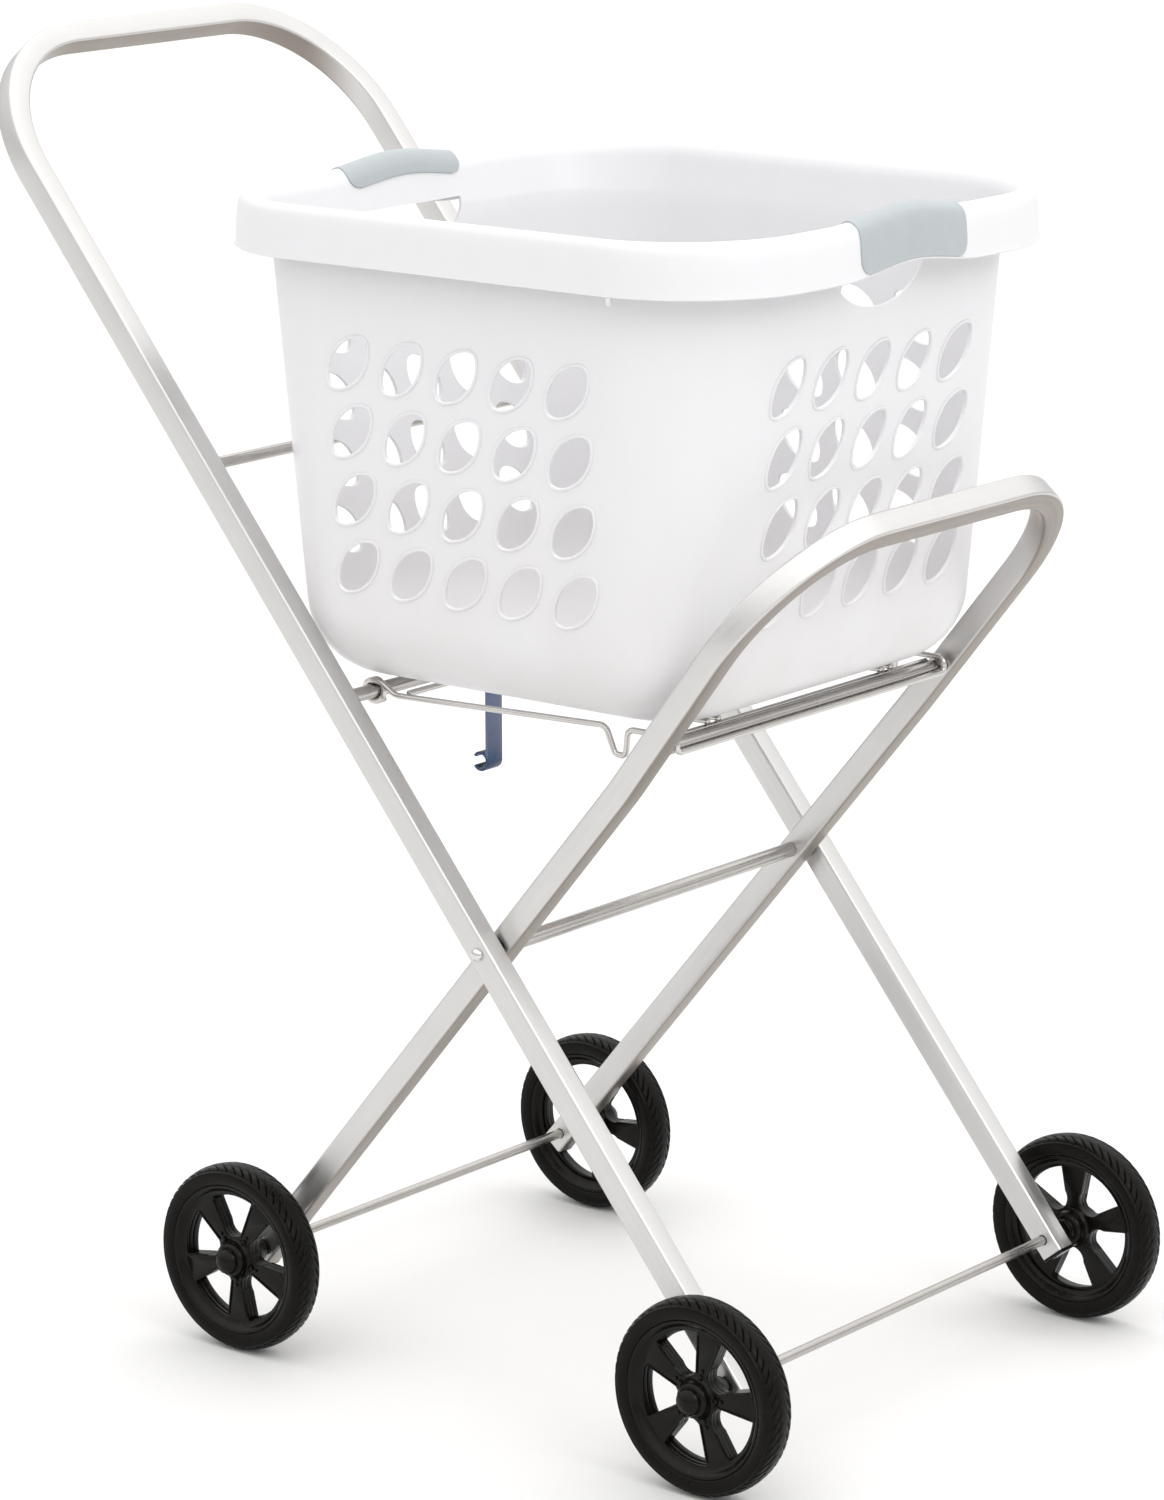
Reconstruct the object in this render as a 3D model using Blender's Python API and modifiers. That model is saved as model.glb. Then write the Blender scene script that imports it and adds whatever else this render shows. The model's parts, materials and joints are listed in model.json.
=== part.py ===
"""Folding laundry cart: two crossed tube frames, a wire rack, a lift-off basket and four wheels.

Metres, +Z up, +X towards the front, +Y to the cart's left. The handle is at the rear.
"""

from math import cos, hypot, pi, radians, sin, tan

import bmesh
import bpy
from mathutils import Matrix, Vector

# Overall sizes
WHEEL_R = 0.075
PIVOT_Z = 0.3613
FRONT_REACH = 0.2340  # pivot to front axle, along X
REAR_REACH = 0.2396  # pivot to rear axle, along X
HANDLE_TOP = 0.834  # pivot to the far face of the handle bar, along the leg
OUTER_W = 0.4325  # outside of the handle frame

# Tube frames
TUBE_D = 0.0205  # in the frame's plane normal
TUBE_W = 0.019  # across the cart
TUBE_WALL = 0.0015
TUBE_EDGE = 0.0028
EDGE_REACH = 0.732  # share of the edge's radius that its facets reach at the rear
FRAME_GAP = 0.0028  # between the two frames, at the pivot
HANDLE_BEND = 0.115
BOW_TOP = 0.4405  # pivot to the far face of the front bow, along the leg
BOW_BEND = 0.104
BOW_SPREAD = 0.010  # each front leg leans out by this much above the pivot
BOW_LEAN = 0.0085  # and back by this much
BOW_START = 0.1802  # pivot to where the front legs begin to lean
LEG_TAIL = 0.014  # leg below its axle
INNER_W = OUTER_W - 2 * (TUBE_W + FRAME_GAP)

# Rods and axles
PLAY = 0.0003
RACK_ARM = 0.224  # pivot to each rack rod, along the legs
UPPER_ARM = 0.4363
RACK_ROD_D = 0.011
UPPER_ROD_D = 0.0095
PIVOT_TUBE_D = 0.0118
SCREW_D = 0.006
AXLE_D = 0.0078
ROD_SINK = 0.006  # how far a rod enters its leg
AXLE_BEYOND = 0.003  # axle past its hub, inside the cap
HEAD_R = 0.0054
HEAD_TALL = 0.0036
THREAD_LONG = 0.018  # screw inside the pivot tube
WASHER_R = 0.009
PLUG_CAP = 0.0022

# Wheels
TYRE_HALF = 0.0140
TRACK_OUT = 0.0285  # leg's outer face to the wheel's middle
HUB_HALF = 0.0155
HUB_R = 0.0142
SPOKES = 5
SPOKE_W = 0.015
SPOKE_T = 0.011
CAP_R = 0.0105
CAP_TALL = 0.0080
SPACER_R = 0.0085
TYRE_DEEP = 0.0145
SEGMENTS = 32

# Wire rack
WIRE_D = 0.0047
WIRE_IN = 0.00645  # side wire's middle, inside the front legs
COIL_TURNS = 1.6
COIL_PITCH = WIRE_D + 0.0006
HAIRPIN_IN = 0.060  # hairpin's middle, inside the side wire
HAIRPIN_HALF = 0.0065
CROSS_PLAY = 0.00047  # between the front cross wire and the front rod
CROSS_TURN = radians(28.72)  # the cross wire's place round the rod, up from straight behind
DIP_BEHIND = 0.046  # middle of the dip, behind the front rod
DIP_DEEP = 0.0205

# Folding clip
CLIP_Y = -0.033
CLIP_W = 0.018
CLIP_LONG = 0.080
CLIP_WALL = 0.002
CLIP_STRAP = 0.0026
CLIP_MOUTH = 0.0084

# Basket
BASKET_BACK = -0.0178  # basket middle, from the middle of the rack rods
BASKET_TALL = 0.366
BASKET_WALL = 0.0022
BOTTOM_ROUND = 0.060
TOP_LONG = 0.2245  # half sizes of the wall's outside under the rim
TOP_WIDE = OUTER_W / 2 + 0.004
TAPER = 0.066
CORNER = 0.090
RIM_OUT_X = 0.032
RIM_OUT_Y = 0.0176
RIM_TALL = 0.0385
ARCH = 0.008
ARCH_HALF = 0.088
HOLE_PITCH = 0.0522
HOLE_RISE = 0.0519
HOLE_TOP = 0.115  # top row's middle, below the rim's top
HOLE_LONG = 0.026
HOLE_WIDE = 0.0145
HOLE_POINT = 0.5  # share of a pointed lens in a hole's oval
HOLE_TILT = radians(45)
HAND_HALF = 0.058
HAND_TOP = 0.030  # below the rim's top
HAND_DEEP = 0.038
HAND_OUT = 0.034  # the hand hole's cutter, outside the wall's middle
END_CUTS = 12  # facets across each end of the basket, between its corners
GRIP_CUTS = 6  # of which the grip covers this many
GRIP_THICK = 0.0018

UP_OUT = Vector((-FRONT_REACH, 0, PIVOT_Z - WHEEL_R)).normalized()
UP_IN = Vector((REAR_REACH, 0, PIVOT_Z - WHEEL_R)).normalized()
REAR_END = -UP_OUT.x * (HANDLE_TOP - TUBE_EDGE) + UP_OUT.z * (TUBE_D / 2 - TUBE_EDGE) + TUBE_EDGE * EDGE_REACH
PIVOT = Vector(((REAR_END - FRONT_REACH - WHEEL_R) / 2, 0, PIVOT_Z))
AXLE_F = PIVOT - UP_OUT * hypot(FRONT_REACH, PIVOT_Z - WHEEL_R)
AXLE_R = PIVOT - UP_IN * hypot(REAR_REACH, PIVOT_Z - WHEEL_R)
ROD_A = PIVOT + UP_OUT * RACK_ARM
ROD_B = PIVOT + UP_IN * RACK_ARM
ROD_C = PIVOT + UP_OUT * UPPER_ARM
WIRE_Z = ROD_B.z + RACK_ROD_D / 2 + PLAY + WIRE_D / 2
ROD_TO_CROSS = (RACK_ROD_D + WIRE_D) / 2 + CROSS_PLAY
CROSS_F = ROD_B + ROD_TO_CROSS * Vector((-cos(CROSS_TURN), 0, sin(CROSS_TURN)))
HAIRPIN_Z = CROSS_F.z + WIRE_D + PLAY
BASKET_Z = HAIRPIN_Z + WIRE_D / 2 + PLAY
BASKET_X = (ROD_A.x + ROD_B.x) / 2 + BASKET_BACK
INNER_FACE_OUT = OUTER_W / 2 - TUBE_W
INNER_FACE_IN = INNER_W / 2 - TUBE_W
WIRE_Y = INNER_FACE_IN - WIRE_IN
HAIRPIN_Y = WIRE_Y - HAIRPIN_IN

COLOURS = {
    "aluminium": (0.74, 0.73, 0.70, 1.0, 0.38),
    "steel": (0.62, 0.60, 0.57, 1.0, 0.22),
    "black_plastic": (0.03, 0.03, 0.03, 0.0, 0.5),
    "rubber": (0.02, 0.02, 0.02, 0.0, 0.8),
    "white_plastic": (0.86, 0.86, 0.86, 0.0, 0.4),
    "grey_rubber": (0.36, 0.39, 0.41, 0.0, 0.6),
    "blue_plastic": (0.10, 0.22, 0.50, 0.0, 0.4),
}


def clear():
    for obj in list(bpy.data.objects):
        bpy.data.objects.remove(obj, do_unlink=True)


def helpers():
    """The collection of cutters and other helpers, which isn't drawn."""
    found = bpy.data.collections.get("helpers")
    if found is None:
        found = bpy.data.collections.new("helpers")
        found.hide_render = True
        bpy.context.scene.collection.children.link(found)
    return found


def material(obj, kind):
    made = bpy.data.materials.new(obj.name + "_material")
    made.use_nodes = True
    shader = made.node_tree.nodes["Principled BSDF"]
    red, green, blue, metal, rough = COLOURS[kind]
    shader.inputs["Base Color"].default_value = (red, green, blue, 1)
    shader.inputs["Metallic"].default_value = metal
    shader.inputs["Roughness"].default_value = rough
    made.diffuse_color = (red, green, blue, 1)
    obj.data.materials.clear()
    obj.data.materials.append(made)


def place(obj, kind=None, helper=False):
    (helpers() if helper else bpy.context.scene.collection).objects.link(obj)
    if helper:
        obj.hide_render = True
        obj.display_type = "WIRE"
    if kind:
        material(obj, kind)
    return obj


def mesh_object(name, points, faces, at=(0, 0, 0)):
    mesh = bpy.data.meshes.new(name)
    mesh.from_pydata([tuple(p) for p in points], [], faces)
    obj = bpy.data.objects.new(name, mesh)
    obj.location = at
    return obj


def smooth(mesh, angle=40):
    mesh.polygons.foreach_set("use_smooth", [True] * len(mesh.polygons))
    mesh.set_sharp_from_angle(angle=radians(angle))


def rod(name, at, length, diameter, kind=None, helper=False, sides=20):
    """A cylinder along Y."""
    work = bmesh.new()
    bmesh.ops.create_cone(
        work, cap_ends=True, segments=sides, radius1=diameter / 2, radius2=diameter / 2, depth=length
    )
    bmesh.ops.rotate(work, verts=work.verts, matrix=Matrix.Rotation(pi / 2, 3, "X"))
    mesh = bpy.data.meshes.new(name)
    work.to_mesh(mesh)
    work.free()
    smooth(mesh)
    obj = bpy.data.objects.new(name, mesh)
    obj.location = at
    return place(obj, kind, helper)


def block(name, at, size, kind=None, helper=False):
    work = bmesh.new()
    bmesh.ops.create_cube(work, size=1)
    bmesh.ops.scale(work, verts=work.verts, vec=size)
    mesh = bpy.data.meshes.new(name)
    work.to_mesh(mesh)
    work.free()
    obj = bpy.data.objects.new(name, mesh)
    obj.location = at
    return place(obj, kind, helper)


def lathe(name, profile, at, outward, kind=None, helper=False, steps=SEGMENTS):
    """A closed profile of (radius, along) turned about Y; along grows towards outward (+1 or -1)."""
    points = [Vector((r, 0, a)) for r, a in profile]
    if sum(p.x * q.z - q.x * p.z for p, q in zip(points, points[1:] + points[:1])) > 0:
        points.reverse()
    count = len(points)
    mesh = bpy.data.meshes.new(name)
    mesh.from_pydata(points, [(i, (i + 1) % count) for i in range(count)], [])
    obj = bpy.data.objects.new(name, mesh)
    turn = obj.modifiers.new("turn", "SCREW")
    turn.steps = turn.render_steps = steps
    turn.use_merge_vertices = True
    turn.merge_threshold = 0.00002
    turn.use_smooth_shade = True
    obj.location = at
    obj.rotation_euler = (-outward * pi / 2, 0, 0)
    return place(obj, kind, helper)


def solid_lathe(name, profile, at, outward, kind=None, helper=False, steps=SEGMENTS):
    """A profile that starts and ends on the axis, turned about Y."""
    obj = lathe(name, profile, at, outward, kind, helper, steps)
    mesh = obj.data
    work = bmesh.new()
    work.from_mesh(mesh)
    work.edges.ensure_lookup_table()
    ends = [e for e in work.edges if all(v.co.x < 1e-7 for v in e.verts)]
    bmesh.ops.delete(work, geom=ends, context="EDGES_FACES")
    work.to_mesh(mesh)
    work.free()
    return obj


def boolean(obj, other, operation="DIFFERENCE"):
    cut = obj.modifiers.new(operation.lower(), "BOOLEAN")
    cut.operation = operation
    cut.solver = "EXACT"
    cut.object = other


def rounded_path(corners, segments=6):
    """The polyline through corners of (point, radius), with each corner turned to an arc."""
    path = [Vector(corners[0][0])]
    for (before, _), (at, radius), (after, _) in zip(corners, corners[1:], corners[2:]):
        at, back, ahead = Vector(at), Vector(before) - Vector(at), Vector(after) - Vector(at)
        angle = back.angle(ahead)
        if radius <= 0 or pi - angle < 0.01:
            path.append(at)
            continue
        back.normalize()
        ahead.normalize()
        reach = radius / tan(angle / 2)
        middle = at + (back + ahead).normalized() * (radius / sin(angle / 2))
        start, end = at + back * reach - middle, at + ahead * reach - middle
        sweep = pi - angle
        for i in range(segments + 1):
            share = sweep * i / segments
            path.append(middle + (start * sin(sweep - share) + end * sin(share)) / sin(sweep))
    path.append(Vector(corners[-1][0]))
    return path


def poly_curve(name, path, closed=False, flat=False):
    curve = bpy.data.curves.new(name, "CURVE")
    curve.dimensions = "2D" if flat else "3D"
    spline = curve.splines.new("POLY")
    spline.points.add(len(path) - 1)
    for point, at in zip(spline.points, path):
        point.co = (*at, 1)
    spline.use_cyclic_u = closed
    return bpy.data.objects.new(name, curve)


def wire(name, path, kind, at=(0, 0, 0)):
    obj = poly_curve(name, [p - Vector(at) for p in path])
    obj.data.bevel_depth = WIRE_D / 2
    obj.data.bevel_resolution = 2
    obj.data.use_fill_caps = True
    obj.data.twist_mode = "MINIMUM"
    obj.location = at
    return place(obj, kind)


def tube_section():
    """The tube's outline, with rounded edges; its first axis lies across the cart."""
    x, y = TUBE_W / 2 - TUBE_EDGE, TUBE_D / 2 - TUBE_EDGE
    ring = []
    for quarter, (sx, sy) in enumerate(((1, 1), (-1, 1), (-1, -1), (1, -1))):
        for step in range(2):
            a = (quarter + 0.17 + 0.66 * step) * pi / 2
            ring.append((sx * x + TUBE_EDGE * cos(a), sy * y + TUBE_EDGE * sin(a), 0))
    return poly_curve("tube_section", ring, closed=True, flat=True)


def frame_tube(name, path, up):
    """A hollow tube bent along a path of (across, along, off), with its origin on the pivot."""
    section = place(tube_section(), helper=True)
    curve = place(poly_curve(name + "_path", path), helper=True)
    curve.data.bevel_mode = "OBJECT"
    curve.data.bevel_object = section
    curve.data.twist_mode = "Z_UP"
    bpy.context.view_layer.update()
    graph = bpy.context.evaluated_depsgraph_get()
    mesh = bpy.data.meshes.new_from_object(curve.evaluated_get(graph))
    work = bmesh.new()
    work.from_mesh(mesh)
    bmesh.ops.remove_doubles(work, verts=work.verts, dist=0.00001)
    bmesh.ops.recalc_face_normals(work, faces=work.faces)
    work.to_mesh(mesh)
    work.free()
    smooth(mesh, 30)
    for helper in (curve, section):
        bpy.data.objects.remove(helper, do_unlink=True)
    mesh.name = name
    obj = bpy.data.objects.new(name, mesh)
    across = Vector((0, 1, 0))
    turn = Matrix((across, up, across.cross(up))).transposed()
    obj.matrix_world = Matrix.Translation(PIVOT) @ turn.to_4x4()
    place(obj, "aluminium")
    wall = obj.modifiers.new("wall", "SOLIDIFY")
    wall.thickness = TUBE_WALL
    wall.offset = -1
    wall.use_even_offset = True
    return obj


def outer_path():
    half, top, tail = OUTER_W / 2 - TUBE_W / 2, HANDLE_TOP - TUBE_D / 2, (AXLE_F - PIVOT).length + LEG_TAIL
    corners = [((-half, -tail, 0), 0), ((-half, top, 0), HANDLE_BEND)]
    corners += [((half, top, 0), HANDLE_BEND), ((half, -tail, 0), 0)]
    return rounded_path(corners, 8)


def inner_path():
    half, top, tail = INNER_W / 2 - TUBE_W / 2, BOW_TOP - TUBE_D / 2, (AXLE_R - PIVOT).length + LEG_TAIL
    wide = half + BOW_SPREAD
    corners = [((-half, -tail, 0), 0), ((-half, BOW_START, 0), 0), ((-wide, top, -BOW_LEAN), BOW_BEND)]
    corners += [((wide, top, -BOW_LEAN), BOW_BEND), ((half, BOW_START, 0), 0), ((half, -tail, 0), 0)]
    return rounded_path(corners, 8)


def bore(frames, at, diameter, reach, name):
    """Cuts one hole along Y through the frames, from -reach to reach."""
    cutter = rod(name, at, 2 * reach, diameter + 2 * PLAY, helper=True)
    for frame in frames:
        boolean(frame, cutter)


def frames():
    outer = frame_tube("handle_frame", outer_path(), UP_OUT)
    inner = frame_tube("front_frame", inner_path(), UP_IN)
    beyond = OUTER_W
    bore([outer, inner], PIVOT, SCREW_D, beyond, "pivot_bore")
    bore([outer], AXLE_F, AXLE_D, beyond, "front_axle_bore")
    bore([inner], AXLE_R, AXLE_D, beyond, "rear_axle_bore")
    into_outer = INNER_FACE_OUT + ROD_SINK + PLAY
    bore([outer], ROD_A, RACK_ROD_D, into_outer, "rear_rod_bore")
    bore([outer], ROD_C, UPPER_ROD_D, into_outer, "upper_rod_bore")
    bore([inner], ROD_B, RACK_ROD_D, front_rod_half() + PLAY, "front_rod_bore")
    return outer, inner


def front_rod_half():
    """Half the front rod: the front legs stand a little wider at the rod than at the pivot."""
    share = (RACK_ARM - BOW_START) / (BOW_TOP - TUBE_D / 2 - BOW_START)
    return INNER_FACE_IN + BOW_SPREAD * share + ROD_SINK


def rods():
    into_outer = 2 * (INNER_FACE_OUT + ROD_SINK)
    rod("rear_rod", ROD_A, into_outer, RACK_ROD_D, "steel")
    rod("upper_rod", ROD_C, into_outer, UPPER_ROD_D, "steel")
    rod("front_rod", ROD_B, 2 * front_rod_half(), RACK_ROD_D, "steel")
    rod("front_axle", AXLE_F, OUTER_W + 2 * (TRACK_OUT + HUB_HALF + AXLE_BEYOND), AXLE_D, "steel")
    rod("rear_axle", AXLE_R, INNER_W + 2 * (TRACK_OUT + HUB_HALF + AXLE_BEYOND), AXLE_D, "steel")


def pivot():
    tube = rod("pivot_tube", PIVOT, INNER_W - 2 * TUBE_W - 2 * PLAY, PIVOT_TUBE_D, "steel")
    boolean(tube, rod("pivot_tube_bore", PIVOT, INNER_W, SCREW_D + 2 * PLAY, helper=True))
    shank = OUTER_W / 2 - INNER_FACE_IN + THREAD_LONG
    for side, y in (("left", 1), ("right", -1)):
        face = PIVOT + Vector((0, y * OUTER_W / 2, 0))
        profile = [(0, -shank), (SCREW_D / 2, -shank), (SCREW_D / 2, PLAY), (HEAD_R, PLAY)]
        for step in range(1, 4):
            a = step * pi / 8
            profile.append((HEAD_R * cos(a), PLAY + HEAD_TALL * sin(a)))
        profile.append((0, HEAD_TALL + PLAY))
        solid_lathe("pivot_screw_" + side, profile, face, y, "steel", steps=16)
        inner = SCREW_D / 2 + PLAY
        washer = [(inner, PLAY), (WASHER_R, PLAY), (WASHER_R, FRAME_GAP - PLAY), (inner, FRAME_GAP - PLAY)]
        at = PIVOT + Vector((0, y * INNER_W / 2, 0))
        lathe("pivot_washer_" + side, washer, at, y, "black_plastic", steps=16)


def plugs():
    """A plastic plug in the open end of each leg."""
    deep = LEG_TAIL - AXLE_D / 2 - 0.003  # the stem stops short of the axle
    for name, axle, up, wide in (("front", AXLE_F, UP_OUT, OUTER_W), ("rear", AXLE_R, UP_IN, INNER_W)):
        turn = Matrix((Vector((0, 1, 0)), up, Vector((0, 1, 0)).cross(up))).transposed().to_4x4()
        for side, y in (("left", 1), ("right", -1)):
            at = axle - up * LEG_TAIL + Vector((0, y * (wide / 2 - TUBE_W / 2), 0))
            inside = 2 * (TUBE_WALL + PLAY)
            cap = block("leg_plug_" + name + "_" + side, (0, 0, 0), (TUBE_W, PLUG_CAP, TUBE_D), "black_plastic")
            cap.data.transform(Matrix.Translation((0, -PLUG_CAP / 2 - PLAY, 0)))
            cap.matrix_world = Matrix.Translation(at) @ turn
            size = (TUBE_W - inside - TUBE_EDGE * 0.6, deep + 0.001, TUBE_D - inside - TUBE_EDGE * 0.6)
            stem = block("plug_stem_" + name + side, (0, 0, 0), size, helper=True)
            stem.data.transform(Matrix.Translation((0, deep / 2 - 0.0008, 0)))
            stem.matrix_world = cap.matrix_world
            boolean(cap, stem, "UNION")


def tyre_profile():
    """The tread's facets, not their edges, stand at the wheel's radius."""
    top, side, inner = WHEEL_R / cos(pi / SEGMENTS), WHEEL_R - 0.006, WHEEL_R - TYRE_DEEP
    half = TYRE_HALF
    outer = [(side - 0.003, half), (top - 0.002, half - 0.0035), (top, half - 0.007)]
    return [(inner, half - 0.002)] + outer + [(r, -a) for r, a in reversed(outer)] + [(inner, 0.002 - half)]


def rim_profile():
    out, lip = WHEEL_R - TYRE_DEEP - PLAY, TYRE_HALF - 0.0022
    steps = [(out, lip), (out - 0.003, lip), (out - 0.0050, lip - 0.0030), (out - 0.0150, lip - 0.0040)]
    return steps + [(r, -a) for r, a in reversed(steps)]


def wheel(name, at, outward):
    rim = lathe("wheel_" + name, rim_profile(), at, outward, "black_plastic")
    face = [(AXLE_D / 2 + PLAY, HUB_HALF), (HUB_R - 0.002, HUB_HALF), (HUB_R, HUB_HALF - 0.003)]
    hub_profile = face + [(r, -a) for r, a in reversed(face)]
    hub = lathe("hub_" + name, hub_profile, at, outward, helper=True, steps=16)
    boolean(rim, hub, "UNION")
    start, end = HUB_R - 0.003, WHEEL_R - 2 * TYRE_DEEP
    for i in range(SPOKES):
        spoke = block("spoke_%d_%s" % (i, name), at, (SPOKE_W, SPOKE_T, end - start), helper=True)
        spoke.data.transform(Matrix.Translation((0, 0, (start + end) / 2)))
        spoke.rotation_euler = (0, i * 2 * pi / SPOKES, 0)
        boolean(rim, spoke, "UNION")
    tyre = lathe("tyre_" + name, tyre_profile(), at, outward, "rubber")
    for obj in (rim, tyre):
        obj.rotation_euler = (obj.rotation_euler[0], pi / SEGMENTS, 0)
    return rim


def hub_cap(name, at, outward):
    """A push-on cap over the axle's end."""
    inner, reach, brim = AXLE_D / 2 + PLAY, AXLE_BEYOND + 2 * PLAY, 0.35 * CAP_TALL
    profile = [(0, reach), (inner, reach), (inner, PLAY), (CAP_R, PLAY), (CAP_R, brim)]
    for step in range(1, 4):
        a = step * pi / 8
        profile.append((CAP_R * cos(a), brim + (CAP_TALL - brim) * sin(a)))
    profile.append((0, CAP_TALL))
    solid_lathe("hub_cap_" + name, profile, at, outward, "black_plastic", steps=16)


def wheels():
    for name, axle, wide in (("front", AXLE_F, OUTER_W), ("rear", AXLE_R, INNER_W)):
        for side, y in (("left", 1), ("right", -1)):
            label = name + "_" + side
            middle = wide / 2 + TRACK_OUT
            wheel(label, axle + Vector((0, y * middle, 0)), y)
            hub_cap(label, axle + Vector((0, y * (middle + HUB_HALF), 0)), y)
            inner, gap = AXLE_D / 2 + PLAY, TRACK_OUT - HUB_HALF
            ring = [(inner, PLAY), (SPACER_R, PLAY), (SPACER_R, gap - PLAY), (inner, gap - PLAY)]
            at = axle + Vector((0, y * wide / 2, 0))
            lathe("axle_spacer_" + label, ring, at, y, "black_plastic", steps=16)


def side_wire(sign):
    """One side of the rack wire, from the tail of its coil to the front rod."""
    y, radius = sign * WIRE_Y, RACK_ROD_D / 2 + WIRE_D / 2 + 0.0004
    path = []
    steps = int(COIL_TURNS * 14)
    for i in range(steps + 1):
        left = COIL_TURNS * (1 - i / steps)
        a = pi / 2 + 2 * pi * left
        across = y - sign * COIL_PITCH * left
        path.append(Vector((ROD_A.x + radius * cos(a), across, ROD_A.z + radius * sin(a))))
    top, low = ROD_A.z + radius, ROD_A.z - 0.0003
    dip = ROD_B.x - DIP_BEHIND
    corners = [((ROD_A.x, y, top), 0), ((ROD_A.x + 0.009, y, top), 0.006)]
    corners += [((ROD_A.x + 0.023, y, low), 0.008), ((dip - 0.0125, y, WIRE_Z), 0.0055)]
    corners += [((dip - 0.0035, y, WIRE_Z - DIP_DEEP), 0.0042), ((dip + 0.0065, y, WIRE_Z - DIP_DEEP), 0.0042)]
    corners += [((dip + 0.0085, y, WIRE_Z), 0.0045)]
    hook = hook_point()
    corners += [((ROD_B.x + (RACK_ROD_D + WIRE_D) / 2, y, WIRE_Z), 0.0056), ((hook.x + 0.0002, y, hook.z), 0.0042)]
    corners += [((hook.x, 0, hook.z), 0)]
    return path[:-1] + rounded_path(corners, 3)[:-1]


def hook_point():
    """Where the rack's front wire runs, below and ahead of the front rod."""
    away = RACK_ROD_D / 2 + WIRE_D / 2 + PLAY
    return Vector((ROD_B.x + away * cos(radians(22)) + 0.0003, 0, ROD_B.z - away * sin(radians(22))))


def rack():
    right, left = side_wire(-1), side_wire(1)
    wire("rack_wire", right + list(reversed(left)), "steel", ROD_A)
    reach = WIRE_Y - WIRE_D / 2 - PLAY
    rear = Vector((ROD_A.x + 0.034, 0, HAIRPIN_Z - WIRE_D - PLAY))
    rod("rack_cross_wire_front", CROSS_F, 2 * reach, WIRE_D, "steel", sides=12)
    rod("rack_cross_wire_rear", rear, 2 * reach, WIRE_D, "steel", sides=12)
    back, ahead = rear.x - 0.010, ROD_B.x - 0.004
    for side, sign in (("left", 1), ("right", -1)):
        near, far = sign * HAIRPIN_Y - HAIRPIN_HALF, sign * HAIRPIN_Y + HAIRPIN_HALF
        bend = HAIRPIN_HALF * 0.98
        corners = [((ahead, near, HAIRPIN_Z), 0), ((back - bend, near, HAIRPIN_Z), bend)]
        corners += [((back - bend, far, HAIRPIN_Z), bend), ((ahead, far, HAIRPIN_Z), 0)]
        wire("rack_hairpin_" + side, rounded_path(corners, 6), "steel", ROD_A)


def clip():
    """A plastic strap that hangs from the rear rod and ends in an open ring."""
    at = Vector((ROD_A.x, CLIP_Y, ROD_A.z))
    bore_r = RACK_ROD_D / 2 + PLAY
    ring_r = bore_r + CLIP_WALL
    low = at - Vector((0, 0, CLIP_LONG))
    body = rod("folding_clip", at, CLIP_W, 2 * ring_r, "blue_plastic", sides=28)
    strap = block("clip_strap", at, (CLIP_STRAP, CLIP_W - 2 * PLAY, CLIP_LONG), helper=True)
    strap.data.transform(Matrix.Translation((ring_r - CLIP_STRAP / 2 - PLAY, 0, -CLIP_LONG / 2)))
    hook = rod("clip_hook", low, CLIP_W, 2 * ring_r, helper=True, sides=28)
    boolean(body, strap, "UNION")
    boolean(body, hook, "UNION")
    for label, place_at in (("eye", at), ("hook", low)):
        bore_cutter = rod("clip_bore_" + label, place_at, CLIP_W * 2, 2 * bore_r, helper=True, sides=28)
        boolean(body, bore_cutter)
    mouth = block("clip_mouth", low, (2 * ring_r, CLIP_W * 2, CLIP_MOUTH), helper=True)
    mouth.data.transform(Matrix.Translation((-ring_r - 0.0015, 0, 0)))
    boolean(body, mouth)


def arch(y):
    """How far the rim rises over a hand hole."""
    share = max(0.0, 1 - abs(y) / ARCH_HALF)
    return ARCH * (3 * share**2 - 2 * share**3)


def wall_half(height):
    """(half length, half width, corner radius) of the wall's middle at a height above the bottom."""
    drop = BASKET_TALL - RIM_TALL - height
    inset = BASKET_WALL / 2 + TAPER * drop
    return TOP_LONG - inset, TOP_WIDE - BASKET_WALL / 2 - TAPER * 0.9 * drop, CORNER - TAPER * 0.2 * drop


RIM = ((0.0, 0.0), (0.20, 0.52), (0.34, 0.83), (0.56, 1.0), (0.78, 0.96), (0.92, 0.76), (1.0, 0.03))


def rim_half(out):
    long, wide, corner = wall_half(BASKET_TALL - RIM_TALL)
    return long + RIM_OUT_X * out, wide + RIM_OUT_Y * out, corner + 0.018 * out


def ring_points(long, wide, corner, height, lift=0.0):
    """A rounded rectangle of points; lift is the share of the hand-hole arch that it takes."""
    ring = []
    cuts_x, cuts_y, turns = 1, END_CUTS, 4
    corners = ((1, -1), (1, 1), (-1, 1), (-1, -1))
    for k, (sx, sy) in enumerate(corners):
        cx, cy = sx * (long - corner), sy * (wide - corner)
        for i in range(turns + 1):
            a = (k - 1 + i / turns) * pi / 2
            ring.append(Vector((cx + corner * cos(a), cy + corner * sin(a), 0)))
        nx, ny = corners[(k + 1) % 4]
        goal = Vector((nx * (long - corner), ny * (wide - corner), 0))
        a = k * pi / 2
        goal += Vector((corner * cos(a), corner * sin(a), 0))
        cuts = cuts_y if k % 2 == 0 else cuts_x
        start = ring[-1]
        ring += [start.lerp(goal, i / cuts) for i in range(1, cuts)]
    for point in ring:
        on_end = abs(point.x) > long - 0.004
        point.z = height + (lift * arch(point.y) if on_end else 0)
    return ring


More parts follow.
